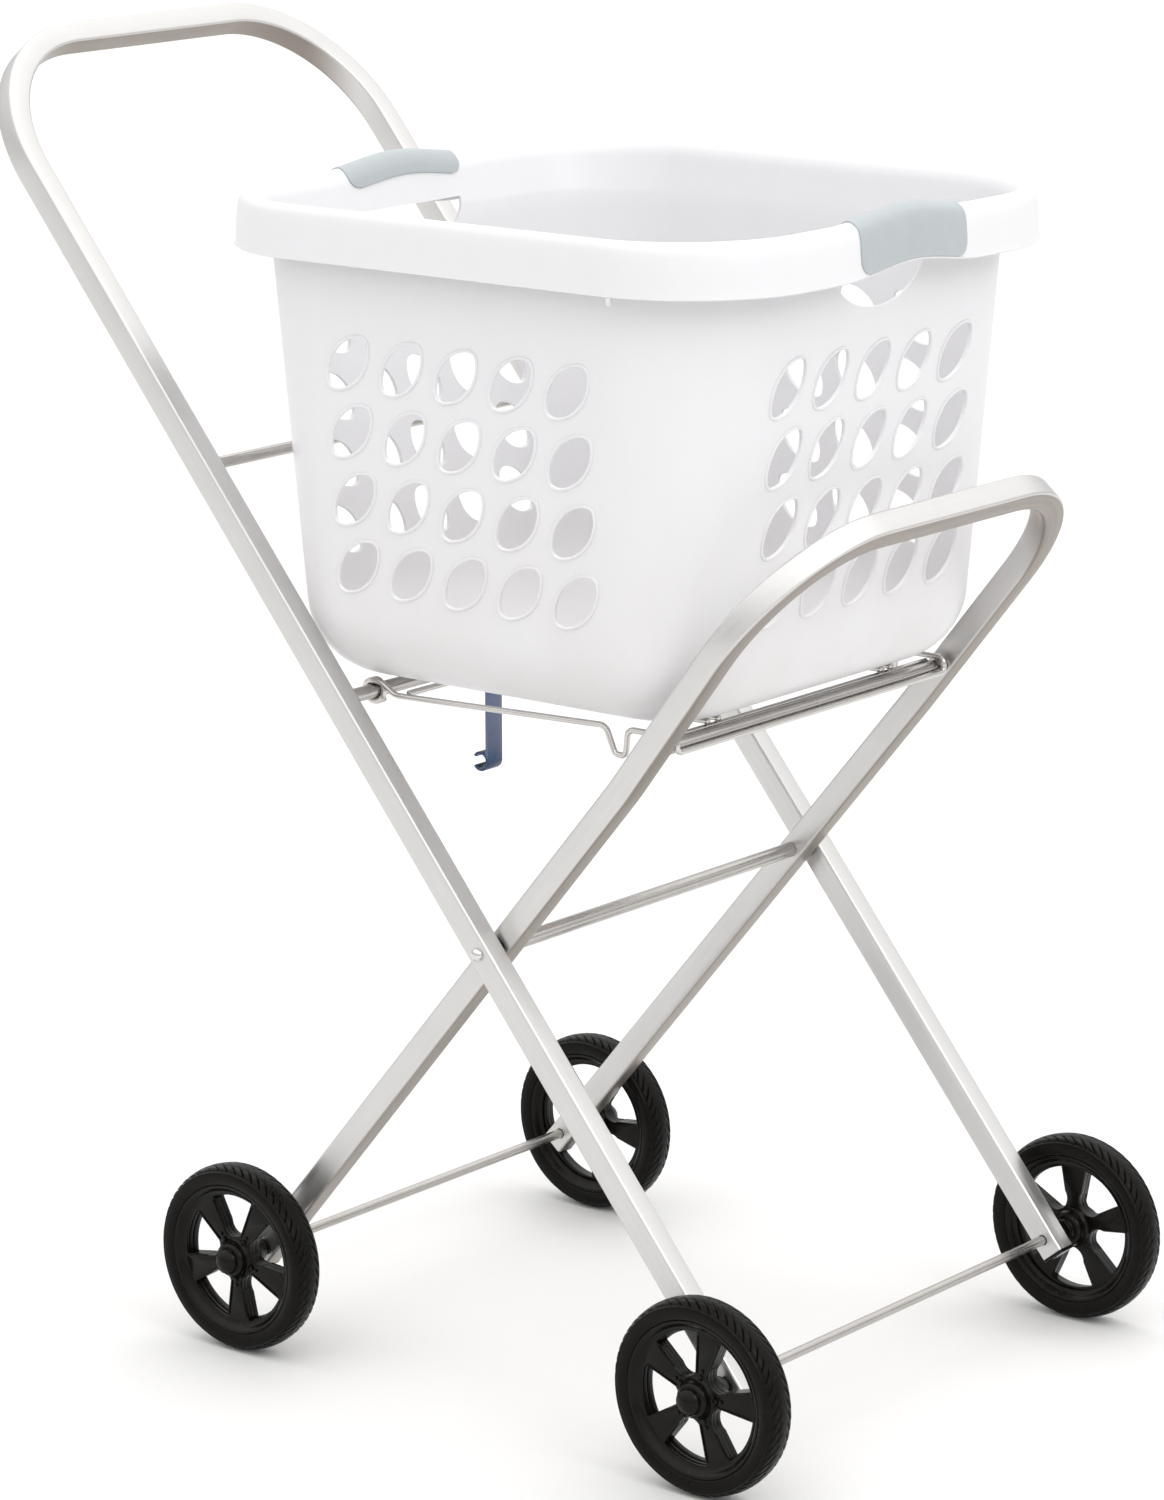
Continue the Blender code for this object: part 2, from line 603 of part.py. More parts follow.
def basket_rings():
    rings = []
    base = wall_half(BOTTOM_ROUND)
    for i in range(4):
        a = radians(90 - 30 * i)
        inset = BOTTOM_ROUND * (1 - cos(a))
        height = BOTTOM_ROUND * (1 - sin(a)) + BASKET_WALL / 2
        rings.append(ring_points(base[0] - inset, base[1] - inset, base[2] - inset, height))
    height = BASKET_TALL - RIM_TALL - 0.012
    rings.append(ring_points(*wall_half(height), height))
    for out, up in RIM:
        height = BASKET_TALL - RIM_TALL + up * RIM_TALL
        rings.append(ring_points(*rim_half(out), height, lift=1.0 if out > 0 else 0.6))
    return rings


def shell(name, rings, capped):
    count = len(rings[0])
    points = [p for ring in rings for p in ring]
    faces = []
    for k in range(len(rings) - 1):
        for i in range(count):
            j = (i + 1) % count
            faces.append((k * count + i, k * count + j, (k + 1) * count + j, (k + 1) * count + i))
    if capped:
        faces.append(tuple(reversed(range(count))))
    return mesh_object(name, points, faces)


def prism(work, outline, turn):
    """Adds a prism to a bmesh; outline is (across, up), and turn carries (across, depth, up) to place."""
    reach = 0.030
    loops = [[work.verts.new(turn @ Vector((u, d, v))) for u, v in outline] for d in (-reach, reach)]
    count = len(outline)
    for i in range(count):
        j = (i + 1) % count
        work.faces.new((loops[0][i], loops[0][j], loops[1][j], loops[1][i]))
    work.faces.new(list(reversed(loops[0])))
    work.faces.new(loops[1])


def cutter_object(name, work):
    bmesh.ops.recalc_face_normals(work, faces=work.faces)
    mesh = bpy.data.meshes.new(name)
    work.to_mesh(mesh)
    work.free()
    obj = bpy.data.objects.new(name, mesh)
    obj.location = (BASKET_X, 0, BASKET_Z)
    return place(obj, helper=True)


def lens(u, v, sides=8):
    """The outline of one slanted hole."""
    points = []
    for i in range(sides):
        a = 2 * pi * i / sides
        x = HOLE_WIDE * cos(a) * (1 - HOLE_POINT + HOLE_POINT * abs(cos(a)))
        y = HOLE_LONG * sin(a)
        points.append((u + x * cos(HOLE_TILT) + y * sin(HOLE_TILT), v - x * sin(HOLE_TILT) + y * cos(HOLE_TILT)))
    return points


def side_turn(side):
    """Carries (across, depth, up) to one of the basket's four walls, near that wall's middle."""
    angle = side * pi / 2
    long, wide, _ = wall_half(BASKET_TALL / 2)
    reach = (wide, long)[side % 2]
    return Matrix.Rotation(angle, 4, "Z") @ Matrix.Translation((0, -reach, 0))


def basket():
    body = shell("basket", basket_rings(), capped=True)
    body.location = (BASKET_X, 0, BASKET_Z)
    place(body, "white_plastic")
    smooth(body.data, 50)
    wall = body.modifiers.new("wall", "SOLIDIFY")
    wall.thickness = BASKET_WALL
    wall.offset = 0
    for side in range(4):
        work = bmesh.new()
        for row in range(4):
            for column in range(-2, 3):
                outline = lens(column * HOLE_PITCH, BASKET_TALL - HOLE_TOP - row * HOLE_RISE)
                prism(work, outline, side_turn(side))
        boolean(body, cutter_object("side_holes_%d" % side, work))
    for side in (1, 3):
        work = bmesh.new()
        top = BASKET_TALL - HAND_TOP
        outline = [(HAND_HALF * cos(pi + i * pi / 10), top + HAND_DEEP * sin(pi + i * pi / 10)) for i in range(11)]
        prism(work, outline, side_turn(side) @ Matrix.Translation((0, -HAND_OUT, 0)))
        boolean(body, cutter_object("hand_hole_%d" % side, work))


def grips():
    """A soft grip over the rim above each hand hole."""
    away = BASKET_WALL / 2 + PLAY + GRIP_THICK / 2
    profile = []
    for out, up in RIM[1:6]:
        long = rim_half(out)[0]
        profile.append(Vector((long, BASKET_TALL - RIM_TALL + up * RIM_TALL)))
    last = profile[-1].lerp(Vector((rim_half(1.0)[0], BASKET_TALL - RIM_TALL)), 0.45)
    profile.append(last)
    moved = []
    for i, point in enumerate(profile):
        back = (point - profile[i - 1]).normalized() if i else None
        ahead = (profile[i + 1] - point).normalized() if i + 1 < len(profile) else back
        back = back or ahead
        normals = [Vector((-d.y, d.x)) for d in (back, ahead)]
        middle = (normals[0] + normals[1]).normalized()
        moved.append(point + middle * away / middle.dot(normals[0]))
    for name, sign in (("front", 1), ("rear", -1)):
        count = GRIP_CUTS + 1
        points = []
        for i, (x, z) in enumerate(moved):
            _, wide, corner = rim_half(RIM[min(i + 1, 5)][0])
            station = 2 * (wide - corner) / END_CUTS
            for k in range(count):
                y = station * (k - GRIP_CUTS / 2)
                points.append((sign * x, y, z + arch(y)))
        faces = []
        for k in range(len(moved) - 1):
            for i in range(count - 1):
                a, b = k * count + i, (k + 1) * count + i
                faces.append((a, b, b + 1, a + 1) if sign < 0 else (a, a + 1, b + 1, b))
        grip = mesh_object("grip_" + name, points, faces, (BASKET_X, 0, BASKET_Z))
        place(grip, "grey_rubber")
        smooth(grip.data, 50)
        thick = grip.modifiers.new("thick", "SOLIDIFY")
        thick.thickness = GRIP_THICK
        thick.offset = 0


def build():
    clear()
    frames()
    rods()
    pivot()
    plugs()
    wheels()
    rack()
    clip()
    basket()
    grips()


build()
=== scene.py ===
"""Looks of the folding laundry cart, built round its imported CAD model.

Metres, +Z up, +X towards the front, +Y to the cart's left, as in the CAD model.
Each piece here stands for one CAD node, or for a few that sit together, and rides on the same body.
"""

import json
from math import cos, hypot, pi, radians, sin, sqrt, tan

import bmesh
import bpy
from mathutils import Matrix, Vector

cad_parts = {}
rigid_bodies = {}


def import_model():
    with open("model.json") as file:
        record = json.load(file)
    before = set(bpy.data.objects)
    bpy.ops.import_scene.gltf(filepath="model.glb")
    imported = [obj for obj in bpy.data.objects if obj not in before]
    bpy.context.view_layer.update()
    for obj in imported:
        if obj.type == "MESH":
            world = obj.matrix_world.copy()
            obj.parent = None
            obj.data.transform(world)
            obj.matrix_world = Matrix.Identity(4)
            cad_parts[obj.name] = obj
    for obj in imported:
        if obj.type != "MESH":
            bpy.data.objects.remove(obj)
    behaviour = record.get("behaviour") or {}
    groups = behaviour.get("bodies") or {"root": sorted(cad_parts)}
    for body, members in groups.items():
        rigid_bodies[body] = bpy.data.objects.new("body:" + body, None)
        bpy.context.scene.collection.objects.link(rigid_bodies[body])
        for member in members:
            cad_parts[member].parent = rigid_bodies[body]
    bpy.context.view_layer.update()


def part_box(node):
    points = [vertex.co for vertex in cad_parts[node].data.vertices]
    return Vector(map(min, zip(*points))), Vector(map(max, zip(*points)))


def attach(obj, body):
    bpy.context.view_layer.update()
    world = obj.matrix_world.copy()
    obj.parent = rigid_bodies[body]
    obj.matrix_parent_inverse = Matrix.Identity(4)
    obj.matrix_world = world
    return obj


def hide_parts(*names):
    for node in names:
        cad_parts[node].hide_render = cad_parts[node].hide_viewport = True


for startup in list(bpy.data.objects):
    bpy.data.objects.remove(startup, do_unlink=True)

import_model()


def middle(node):
    low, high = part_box(node)
    return (low + high) / 2


def size(node):
    low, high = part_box(node)
    return high - low


# Places and sizes read from the CAD model
PIVOT = middle("pivot_tube")
AXLE_F = middle("front_axle")
AXLE_R = middle("rear_axle")
ROD_A = middle("rear_rod")
ROD_B = middle("front_rod")
ROD_C = middle("upper_rod")
UP_OUT = (PIVOT - AXLE_F).normalized()
UP_IN = (PIVOT - AXLE_R).normalized()
OUTER_W = size("handle_frame").y
RACK_ROD_D = size("rear_rod").z
UPPER_ROD_D = size("upper_rod").z
AXLE_D = size("front_axle").z
ACROSS = Vector((0, 1, 0))
PLAY = 0.0003

# Tube frames
TUBE_D = 0.0205  # along the normal of the frame's plane
TUBE_W = 0.019  # across the cart
TUBE_WALL = 0.0015
TUBE_EDGE = 0.0024
FRAME_GAP = 0.0028
INNER_W = OUTER_W - 2 * (TUBE_W + FRAME_GAP)
HANDLE_TOP = 0.834  # pivot to the far face of the handle bar, along the leg
HANDLE_BEND = 0.115
BOW_TOP = 0.4405
BOW_BEND = 0.104
BOW_SPREAD = 0.010
BOW_LEAN = 0.0085
BOW_START = 0.1802  # where the front legs begin to lean, from the pivot
BOW_EASE = 0.3
SCREW_HOLE_D = 0.006
LEG_TAIL = 0.014
HOLE_PLAY = 0.0005  # round each rod, where it enters a leg
INNER_FACE_IN = INNER_W / 2 - TUBE_W
AXLES = (
    ("front", AXLE_F, UP_OUT, OUTER_W, "handle_frame"),
    ("rear", AXLE_R, UP_IN, INNER_W, "front_frame"),
)
SIDES = (("left", 1), ("right", -1))

# Wheels
WHEEL_R = 0.075
TYRE_HALF = 0.0140
TRACK_OUT = 0.0285
HUB_HALF = 0.0155
TYRE_SEAT = 0.0600  # radius where the tyre meets the rim
WINDOW_RIM = radians(23)  # half of a window, at the rim
WINDOW_HUB = 0.0168  # a window's nearest point to the axle
WINDOW_ROUND = 0.0108
TREAD_GROOVES = 52

# Wire rack
WIRE_D = 0.0047
WIRE_Y = 0.169
HOOK_TURN = radians(22)  # where the rack's hook touches the front rod, below its front
COIL_TURNS = 1.6
COIL_PITCH = WIRE_D + 0.0006
HAIRPIN_Y = 0.109
HAIRPIN_HALF = 0.0065
DIP_BEHIND = 0.046
DIP_DEEP = 0.0205
WIRE_Z = ROD_B.z + RACK_ROD_D / 2 + PLAY + WIRE_D / 2
HAIRPIN_Z = ROD_B.z + 0.004 + WIRE_D + PLAY

# Folding clip
CLIP_Y = middle("folding_clip").y
CLIP_W = 0.018
CLIP_LONG = 0.080
CLIP_WALL = 0.0021
CLIP_STRAP = 0.0026
CLIP_MOUTH = radians(66)

# Basket
BASKET_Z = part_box("basket")[0].z
BASKET_X = middle("basket").x
BASKET_TALL = 0.366
BASKET_WALL = 0.0022
BOTTOM_ROUND = 0.060
TOP_LONG = 0.2245
TOP_WIDE = OUTER_W / 2 + 0.004
TAPER = 0.066
CORNER = 0.090
RIM_OUT_X = 0.032
RIM_OUT_Y = 0.0176
RIM_CORNER = 0.018  # what the corner's radius grows by, from wall to rim
RIM_TALL = 0.0385
RIM = (
    (0.0, 0.0),
    (0.20, 0.52),
    (0.34, 0.83),
    (0.56, 1.0),
    (0.78, 0.96),
    (0.92, 0.76),
    (0.985, 0.10),
    (1.02, 0.0),
)
ARCH = 0.008
ARCH_HALF = 0.088
HOLE_PITCH = 0.0522
HOLE_RISE = 0.0519
HOLE_TOP = 0.115
HOLE_LONG = 0.026
HOLE_WIDE = 0.0145
HOLE_TILT = radians(45)
HOLE_POINT = 0.32  # share of a pointed lens in a hole's oval
LIP = 0.0014
HAND_HALF = 0.058
HAND_TOP = 0.030
HAND_DEEP = 0.038
GRIP_HALF = 0.066
GRIP_THICK = 0.0018


# Shapes


def rounded_path(corners, segments):
    """The polyline through corners of (point, radius), with each corner turned to an arc."""
    path = [Vector(corners[0][0])]
    for (before, _), (at, radius), (after, _) in zip(corners, corners[1:], corners[2:]):
        path += fillet(Vector(before), Vector(at), Vector(after), radius, segments)
    path.append(Vector(corners[-1][0]))
    return path


def fillet(before, at, after, radius, segments):
    """The arc that rounds the corner at `at`."""
    back, ahead = (before - at).normalized(), (after - at).normalized()
    angle = back.angle(ahead)
    if radius <= 0 or pi - angle < 0.01:
        return [at]
    reach, sweep = radius / tan(angle / 2), pi - angle
    centre = at + (back + ahead).normalized() * (radius / sin(angle / 2))
    start, end = at + back * reach - centre, at + ahead * reach - centre
    arc = []
    for i in range(segments + 1):
        share = sweep * i / segments
        arc.append(centre + (start * sin(sweep - share) + end * sin(share)) / sin(sweep))
    return arc


def rounded_loop(points, radius, segments):
    """A closed outline with every corner rounded."""
    count = len(points)
    found = [Vector((*p, 0)) for p in points]
    loop = []
    for i, at in enumerate(found):
        loop += fillet(found[i - 1], at, found[(i + 1) % count], radius, segments)
    return [(p.x, p.y) for p in loop]


def polar(radius, angle):
    return (radius * cos(angle), radius * sin(angle))


def rotated(point, angle):
    x, y = point
    return (x * cos(angle) - y * sin(angle), x * sin(angle) + y * cos(angle))


def rounded_rectangle(half_w, half_d, edge, segments):
    corners = [(half_w, -half_d), (half_w, half_d), (-half_w, half_d), (-half_w, -half_d)]
    return rounded_loop(corners, edge, segments)


def circle(radius, sides):
    return [polar(radius, 2 * pi * i / sides) for i in range(sides)]


def rings_along(path, section, normal=None):
    """The section repeated along a path. Its first axis lies in the path's plane when normal is given."""
    rings, up = [], None
    for i, at in enumerate(path):
        tangent = (path[min(i + 1, len(path) - 1)] - path[max(i - 1, 0)]).normalized()
        if normal is not None:
            up = normal
        elif up is None:
            up = tangent.orthogonal()
        up = (up - tangent * up.dot(tangent)).normalized()
        side = up.cross(tangent)
        rings.append([at + side * a + up * b for a, b in section])
    return rings


def quads(rows, count, links, steps):
    """Faces between rows of count points, with links joins in each row and steps from row to row."""
    faces = []
    for k in range(steps):
        for i in range(links):
            j, after = (i + 1) % count, (k + 1) % rows
            faces.append((k * count + i, k * count + j, after * count + j, after * count + i))
    return faces


def mesh_piece(name, points, faces, sharp=35, flow=None):
    """A mesh object with outward faces and smooth shading; flow gives a UV of (along, around) in metres."""
    mesh = bpy.data.meshes.new(name)
    mesh.from_pydata([tuple(p) for p in points], [], faces)
    if flow is not None:
        layer = mesh.uv_layers.new(name="flow")
        for loop in mesh.loops:
            layer.data[loop.index].uv = flow[loop.vertex_index]
    work = bmesh.new()
    work.from_mesh(mesh)
    bmesh.ops.remove_doubles(work, verts=work.verts, dist=1e-6)
    bmesh.ops.recalc_face_normals(work, faces=work.faces)
    work.to_mesh(mesh)
    work.free()
    shade(mesh, sharp)
    return placed(name, mesh)


def placed(name, data):
    obj = bpy.data.objects.new(name, data)
    bpy.context.scene.collection.objects.link(obj)
    return obj


def shade(mesh, sharp=35):
    mesh.polygons.foreach_set("use_smooth", [True] * len(mesh.polygons))
    mesh.set_sharp_from_angle(angle=radians(sharp))


def skin(name, rings, loop=False):
    """Joins rings of equal count. With loop, the last joins the first; otherwise both ends are capped."""
    count, points, flow, along = len(rings[0]), [p for ring in rings for p in ring], [], 0.0
    for k, ring in enumerate(rings):
        if k:
            along += (sum(ring, Vector()) / count - sum(rings[k - 1], Vector()) / count).length
        around = 0.0
        for i, point in enumerate(ring):
            around += (point - ring[i - 1]).length if i else 0.0
            flow.append((along, around))
    faces = quads(len(rings), count, count, len(rings) if loop else len(rings) - 1)
    if not loop:
        faces.append(tuple(range(count)))
        faces.append(tuple(range((len(rings) - 1) * count, len(rings) * count)))
    return mesh_piece(name, points, faces, flow=flow)


def turned(name, profile, at, outward, steps, closed=True, sharp=35):
    """A profile of (radius, along) turned about Y."""
    points, flow, count = [], [], len(profile)
    for k in range(steps):
        around = 0.0
        for i, (radius, along) in enumerate(profile):
            a = 2 * pi * k / steps
            points.append(at + Vector((radius * cos(a), outward * along, radius * sin(a))))
            if i:
                around += hypot(radius - profile[i - 1][0], along - profile[i - 1][1])
            flow.append((a * radius, around))
    faces = quads(steps, count, count if closed else count - 1, steps)
    return mesh_piece(name, points, faces, sharp, flow)


def bar(name, at, length, diameter, edge=0.0006, sides=48):
    """A straight round bar along Y with eased ends."""
    half, r = length / 2, diameter / 2
    profile = [(0, -half), (r - edge, -half), (r - edge * 0.3, -half + edge * 0.3), (r, -half + edge)]
    profile += [(r, along) for along in (-half * 0.5, 0, half * 0.5)]
    profile += [(r, half - edge), (r - edge * 0.3, half - edge * 0.3), (r - edge, half), (0, half)]
    return turned(name, profile, at, 1, sides, closed=False)


def plate(name, outlines, near, far, at, outward, edge=0.0004):
    """Flat outlines of (x, z), the first the outside and the rest holes, from near to far along Y."""
    curve = bpy.data.curves.new(name, "CURVE")
    curve.dimensions, curve.fill_mode = "2D", "BOTH"
    for outline in outlines:
        spline = curve.splines.new("POLY")
        spline.points.add(len(outline) - 1)
        for point, (x, z) in zip(spline.points, outline):
            point.co = (x, z, 0, 1)
        spline.use_cyclic_u = True
    curve.extrude, curve.bevel_depth, curve.bevel_resolution = (far - near) / 2 - edge, edge, 1
    curve.offset = -edge
    helper = placed(name + "_flat", curve)
    bpy.context.view_layer.update()
    graph = bpy.context.evaluated_depsgraph_get()
    mesh = bpy.data.meshes.new_from_object(helper.evaluated_get(graph))
    bpy.data.objects.remove(helper, do_unlink=True)
    mesh.transform(Matrix.Rotation(-outward * pi / 2, 4, "X"))
    if outward > 0:
        mesh.transform(Matrix.Scale(-1, 4, Vector((0, 0, 1))))
    mesh.transform(Matrix.Translation(at + ACROSS * outward * (near + far) / 2))
    points = [v.co.copy() for v in mesh.vertices]
    faces = [tuple(f.vertices) for f in mesh.polygons]
    bpy.data.meshes.remove(mesh)
    return mesh_piece(name, points, faces)


def joined(name, pieces):
    """One object from several."""
    work = bmesh.new()
    for piece in pieces:
        work.from_mesh(piece.data)
        bpy.data.objects.remove(piece, do_unlink=True)
    mesh = bpy.data.meshes.new(name)
    work.to_mesh(mesh)
    work.free()
    shade(mesh)
    return placed(name, mesh)


def cut(obj, cutters):
    """Takes the cutters' shape out of obj, and removes the cutters."""
    tool = joined("cutter", cutters)
    change = obj.modifiers.new("cut", "BOOLEAN")
    change.operation, change.solver, change.object = "DIFFERENCE", "EXACT", tool
    apply_modifiers(obj)
    bpy.data.objects.remove(tool, do_unlink=True)


def apply_modifiers(obj, sharp=35):
    bpy.context.view_layer.update()
    graph = bpy.context.evaluated_depsgraph_get()
    mesh = bpy.data.meshes.new_from_object(obj.evaluated_get(graph))
    obj.modifiers.clear()
    obj.data = mesh
    shade(mesh, sharp)


def thicken(obj, wall, soft, segments, angle):
    """Gives a sheet its wall, half to each side, and eases its edges."""
    solid = obj.modifiers.new("wall", "SOLIDIFY")
    solid.thickness, solid.offset = wall, 0
    bevel = obj.modifiers.new("soft", "BEVEL")
    bevel.width, bevel.segments = soft, segments
    bevel.limit_method, bevel.angle_limit = "ANGLE", radians(angle)


def fit(obj, body, slot, material, *nodes):
    """Gives a piece its material, its body and the CAD nodes it stands for."""
    obj.data.materials.clear()
    obj.data.materials.append(material)
    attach(obj, body)
    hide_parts(*nodes)
    return obj


# Materials


class Surface:
    """A Principled material and short calls for the nodes that feed it."""

    def __init__(self, name, roughness, metallic=0.0, **sockets):
        self.material = bpy.data.materials.new(name)
        self.material.use_nodes = True
        self.tree = self.material.node_tree
        self.shader = self.tree.nodes["Principled BSDF"]
        self.shader.inputs["Roughness"].default_value = roughness
        self.shader.inputs["Metallic"].default_value = metallic
        for socket, value in sockets.items():
            self.shader.inputs[socket.replace("_", " ")].default_value = value
        self.place = self.node("ShaderNodeTexCoord", "Object", {})

    def node(self, kind, output, inputs, **settings):
        """One output of a new node, once its settings and inputs are given."""
        made = self.tree.nodes.new(kind)
        for key, value in settings.items():
            setattr(made, key, value)
        for socket, value in inputs.items():
            self.feed(made.inputs[socket], value)
        return made.outputs[output]

    def feed(self, socket, value):
        if isinstance(value, bpy.types.NodeSocket):
            self.tree.links.new(value, socket)
        else:
            socket.default_value = value

    def flow(self, along, around):
        """Coordinates that follow a tube: metres along and around it, scaled."""
        return self.stretch(self.node("ShaderNodeUVMap", "UV", {}, uv_map="flow"), (along, around, 1))

    def stretch(self, coordinates, scale):
        return self.node("ShaderNodeMapping", "Vector", {"Vector": coordinates, "Scale": scale})

    def noise(self, size_m, detail, roughness=0.55, coordinates=None, distortion=0.0):
        """Noise whose spots are about size_m across."""
        inputs = {"Vector": coordinates or self.place, "Scale": 1 / size_m, "Detail": detail}
        inputs.update({"Roughness": roughness, "Distortion": distortion})
        return self.node("ShaderNodeTexNoise", "Fac", inputs)

    def cells(self, size_m):
        return self.node("ShaderNodeTexVoronoi", "Distance", {"Vector": self.place, "Scale": 1 / size_m})

    def levels(self, value, low, high, to_low=0.0, to_high=1.0):
        inputs = {"Value": value, 1: low, 2: high, 3: to_low, 4: to_high}
        return self.node("ShaderNodeMapRange", "Result", inputs, interpolation_type="SMOOTHSTEP")

    def math(self, operation, a, b):
        return self.node("ShaderNodeMath", 0, {0: a, 1: b}, operation=operation)

    def times(self, a, b):
        return self.math("MULTIPLY", a, b)

    def mix(self, share, a, b):
        return self.node("ShaderNodeMix", "Result", {"Factor": share, "A": a, "B": b}, data_type="RGBA")

    def edges(self, low=0.51, high=0.60):
        """Where the surface turns outward sharply, from 0 to 1."""
        return self.levels(self.node("ShaderNodeNewGeometry", "Pointiness", {}), low, high)

    def upward(self, vector, low, high):
        """From 0 to 1 as the vector's Z goes from low to high."""
        return self.levels(self.node("ShaderNodeSeparateXYZ", "Z", {0: vector}), low, high)

    def facing(self, low, high):
        return self.upward(self.node("ShaderNodeNewGeometry", "Normal", {}), low, high)

    def bump(self, height, depth_m, strength, under=None):
        inputs = {"Height": height, "Distance": depth_m, "Strength": strength}
        if under is not None:
            inputs["Normal"] = under
        return self.node("ShaderNodeBump", "Normal", inputs)

    def finish(self, colour, roughness, normal):
        self.feed(self.shader.inputs["Base Color"], colour)
        self.feed(self.shader.inputs["Roughness"], roughness)
        self.feed(self.shader.inputs["Normal"], normal)
        return self.material


def grey(value, warm=0.0):
    return (value * (1 + warm), value, value * (1 - warm), 1)


def aluminium():
    """Satin anodised tube: fine drawing lines along it, faint handling marks, rubbed edges and painted shade
    on faces that turn downward.
    """
    s = Surface("satin_aluminium", 0.36, metallic=0.86, Specular_IOR_Level=0.5)
    lines = s.noise(0.00035, 2, 0.6, s.flow(0.012, 1.0))
    bands = s.noise(0.004, 3, 0.5, s.flow(0.05, 1.0))
    grain = s.noise(0.0004, 2)
    clouds = s.noise(0.045, 4, 0.6)
    marks = s.levels(s.noise(0.006, 5, 0.75, distortion=1.2), 0.66, 0.74)
    colour = s.mix(s.times(clouds, 0.6), grey(0.655, 0.012), grey(0.565, 0.022))
    colour = s.mix(s.times(s.levels(lines, 0.35, 0.65), 0.16), colour, grey(0.50, 0.01))
    # Painted shade: faces that turn downward are darkened towards a brownish grey.
    colour = s.mix(s.times(s.facing(-0.15, -0.60), 0.75), colour, (0.17, 0.13, 0.10, 1))
    colour = s.mix(s.times(marks, 0.10), colour, grey(0.50, 0.02))
    colour = s.mix(s.times(s.edges(0.53, 0.62), 0.12), colour, grey(0.78))
    rough = s.math("ADD", s.levels(bands, 0.3, 0.7, 0.30, 0.40), s.times(marks, 0.10))
    normal = s.bump(lines, 0.00003, 0.6)
    normal = s.bump(grain, 0.00002, 0.5, normal)
    return s.finish(colour, rough, normal)


def satin_steel():
    """Drawn steel rod: brownish grey, with lines along it and small stains."""
    s = Surface("satin_steel_rod", 0.30, metallic=1.0)
    lines = s.noise(0.0003, 2, 0.6, s.stretch(s.place, (1, 0.012, 1)))
    clouds = s.noise(0.018, 4, 0.65)
    stains = s.levels(s.noise(0.004, 5, 0.7), 0.62, 0.75)
    colour = s.mix(clouds, grey(0.50, 0.035), grey(0.40, 0.05))
    colour = s.mix(s.times(stains, 0.30), colour, (0.26, 0.21, 0.17, 1))
    colour = s.mix(s.times(s.edges(), 0.4), colour, grey(0.66, 0.02))
    rough = s.math("ADD", s.levels(lines, 0.3, 0.7, 0.20, 0.30), s.times(stains, 0.12))
    return s.finish(colour, rough, s.bump(lines, 0.00003, 0.7))


def bright_wire():
    """Nickel-plated wire with a faint orange-peel surface and dull spots."""
    s = Surface("plated_wire", 0.16, metallic=1.0)
    peel = s.noise(0.0018, 3, 0.5)
    spots = s.levels(s.noise(0.003, 4, 0.7), 0.60, 0.72)
    clouds = s.noise(0.012, 4)
    colour = s.mix(clouds, grey(0.62, 0.025), grey(0.52, 0.035))
    colour = s.mix(s.times(spots, 0.35), colour, (0.34, 0.28, 0.23, 1))
    rough = s.math("ADD", s.levels(clouds, 0.3, 0.7, 0.13, 0.22), s.times(spots, 0.15))
    return s.finish(colour, rough, s.bump(peel, 0.00005, 0.5))


def bright_steel():
    """Polished screw heads."""
    s = Surface("polished_screw", 0.12, metallic=1.0)
    clouds = s.noise(0.003, 4)
    scratches = s.levels(s.noise(0.0006, 2, 0.5, s.stretch(s.place, (1, 1, 0.08))), 0.62, 0.70)
    colour = s.mix(clouds, grey(0.74, 0.01), grey(0.60, 0.02))
    rough = s.math("ADD", s.levels(clouds, 0.3, 0.7, 0.08, 0.16), s.times(scratches, 0.15))
    return s.finish(colour, rough, s.bump(scratches, 0.00002, 0.4))


def white_plastic(name, light, dark):
    """Moulded polypropylene: fine grain, soft sink marks, light scuffs and painted brownish shade low down,
    in patches.
    """
    s = Surface(name, 0.38, Specular_IOR_Level=0.5, Subsurface_Weight=0.08)
    s.shader.inputs["Subsurface Radius"].default_value = (0.006, 0.005, 0.004)
    s.shader.inputs["Subsurface Scale"].default_value = 0.35
    grain = s.noise(0.0007, 3, 0.6)
    sinks = s.noise(0.07, 2, 0.4)
    flow_marks = s.noise(0.02, 4, 0.6, s.stretch(s.place, (1, 1, 0.25)))
    scuffs = s.levels(s.noise(0.0011, 4, 0.7, s.stretch(s.place, (1, 1, 0.10)), 0.8), 0.70, 0.78)
    low = s.upward(s.place, BASKET_Z + 0.22, BASKET_Z)
    colour = s.mix(s.times(flow_marks, 0.5), light, dark)
    colour = s.mix(s.times(scuffs, 0.14), colour, (0.62, 0.60, 0.58, 1))
    # Painted shade: the lower part of the basket is darkened towards a brownish grey, in patches.
    dust_and_painted_shade = s.times(low, s.levels(sinks, 0.0, 0.7))
    colour = s.mix(s.times(dust_and_painted_shade, 0.22), colour, (0.55, 0.50, 0.45, 1))
    rough = s.math("ADD", s.levels(sinks, 0.3, 0.7, 0.33, 0.44), s.times(scuffs, 0.12))
    normal = s.bump(sinks, 0.0009, 0.35)
    normal = s.bump(grain, 0.00004, 0.5, normal)
    return s.finish(colour, rough, normal)


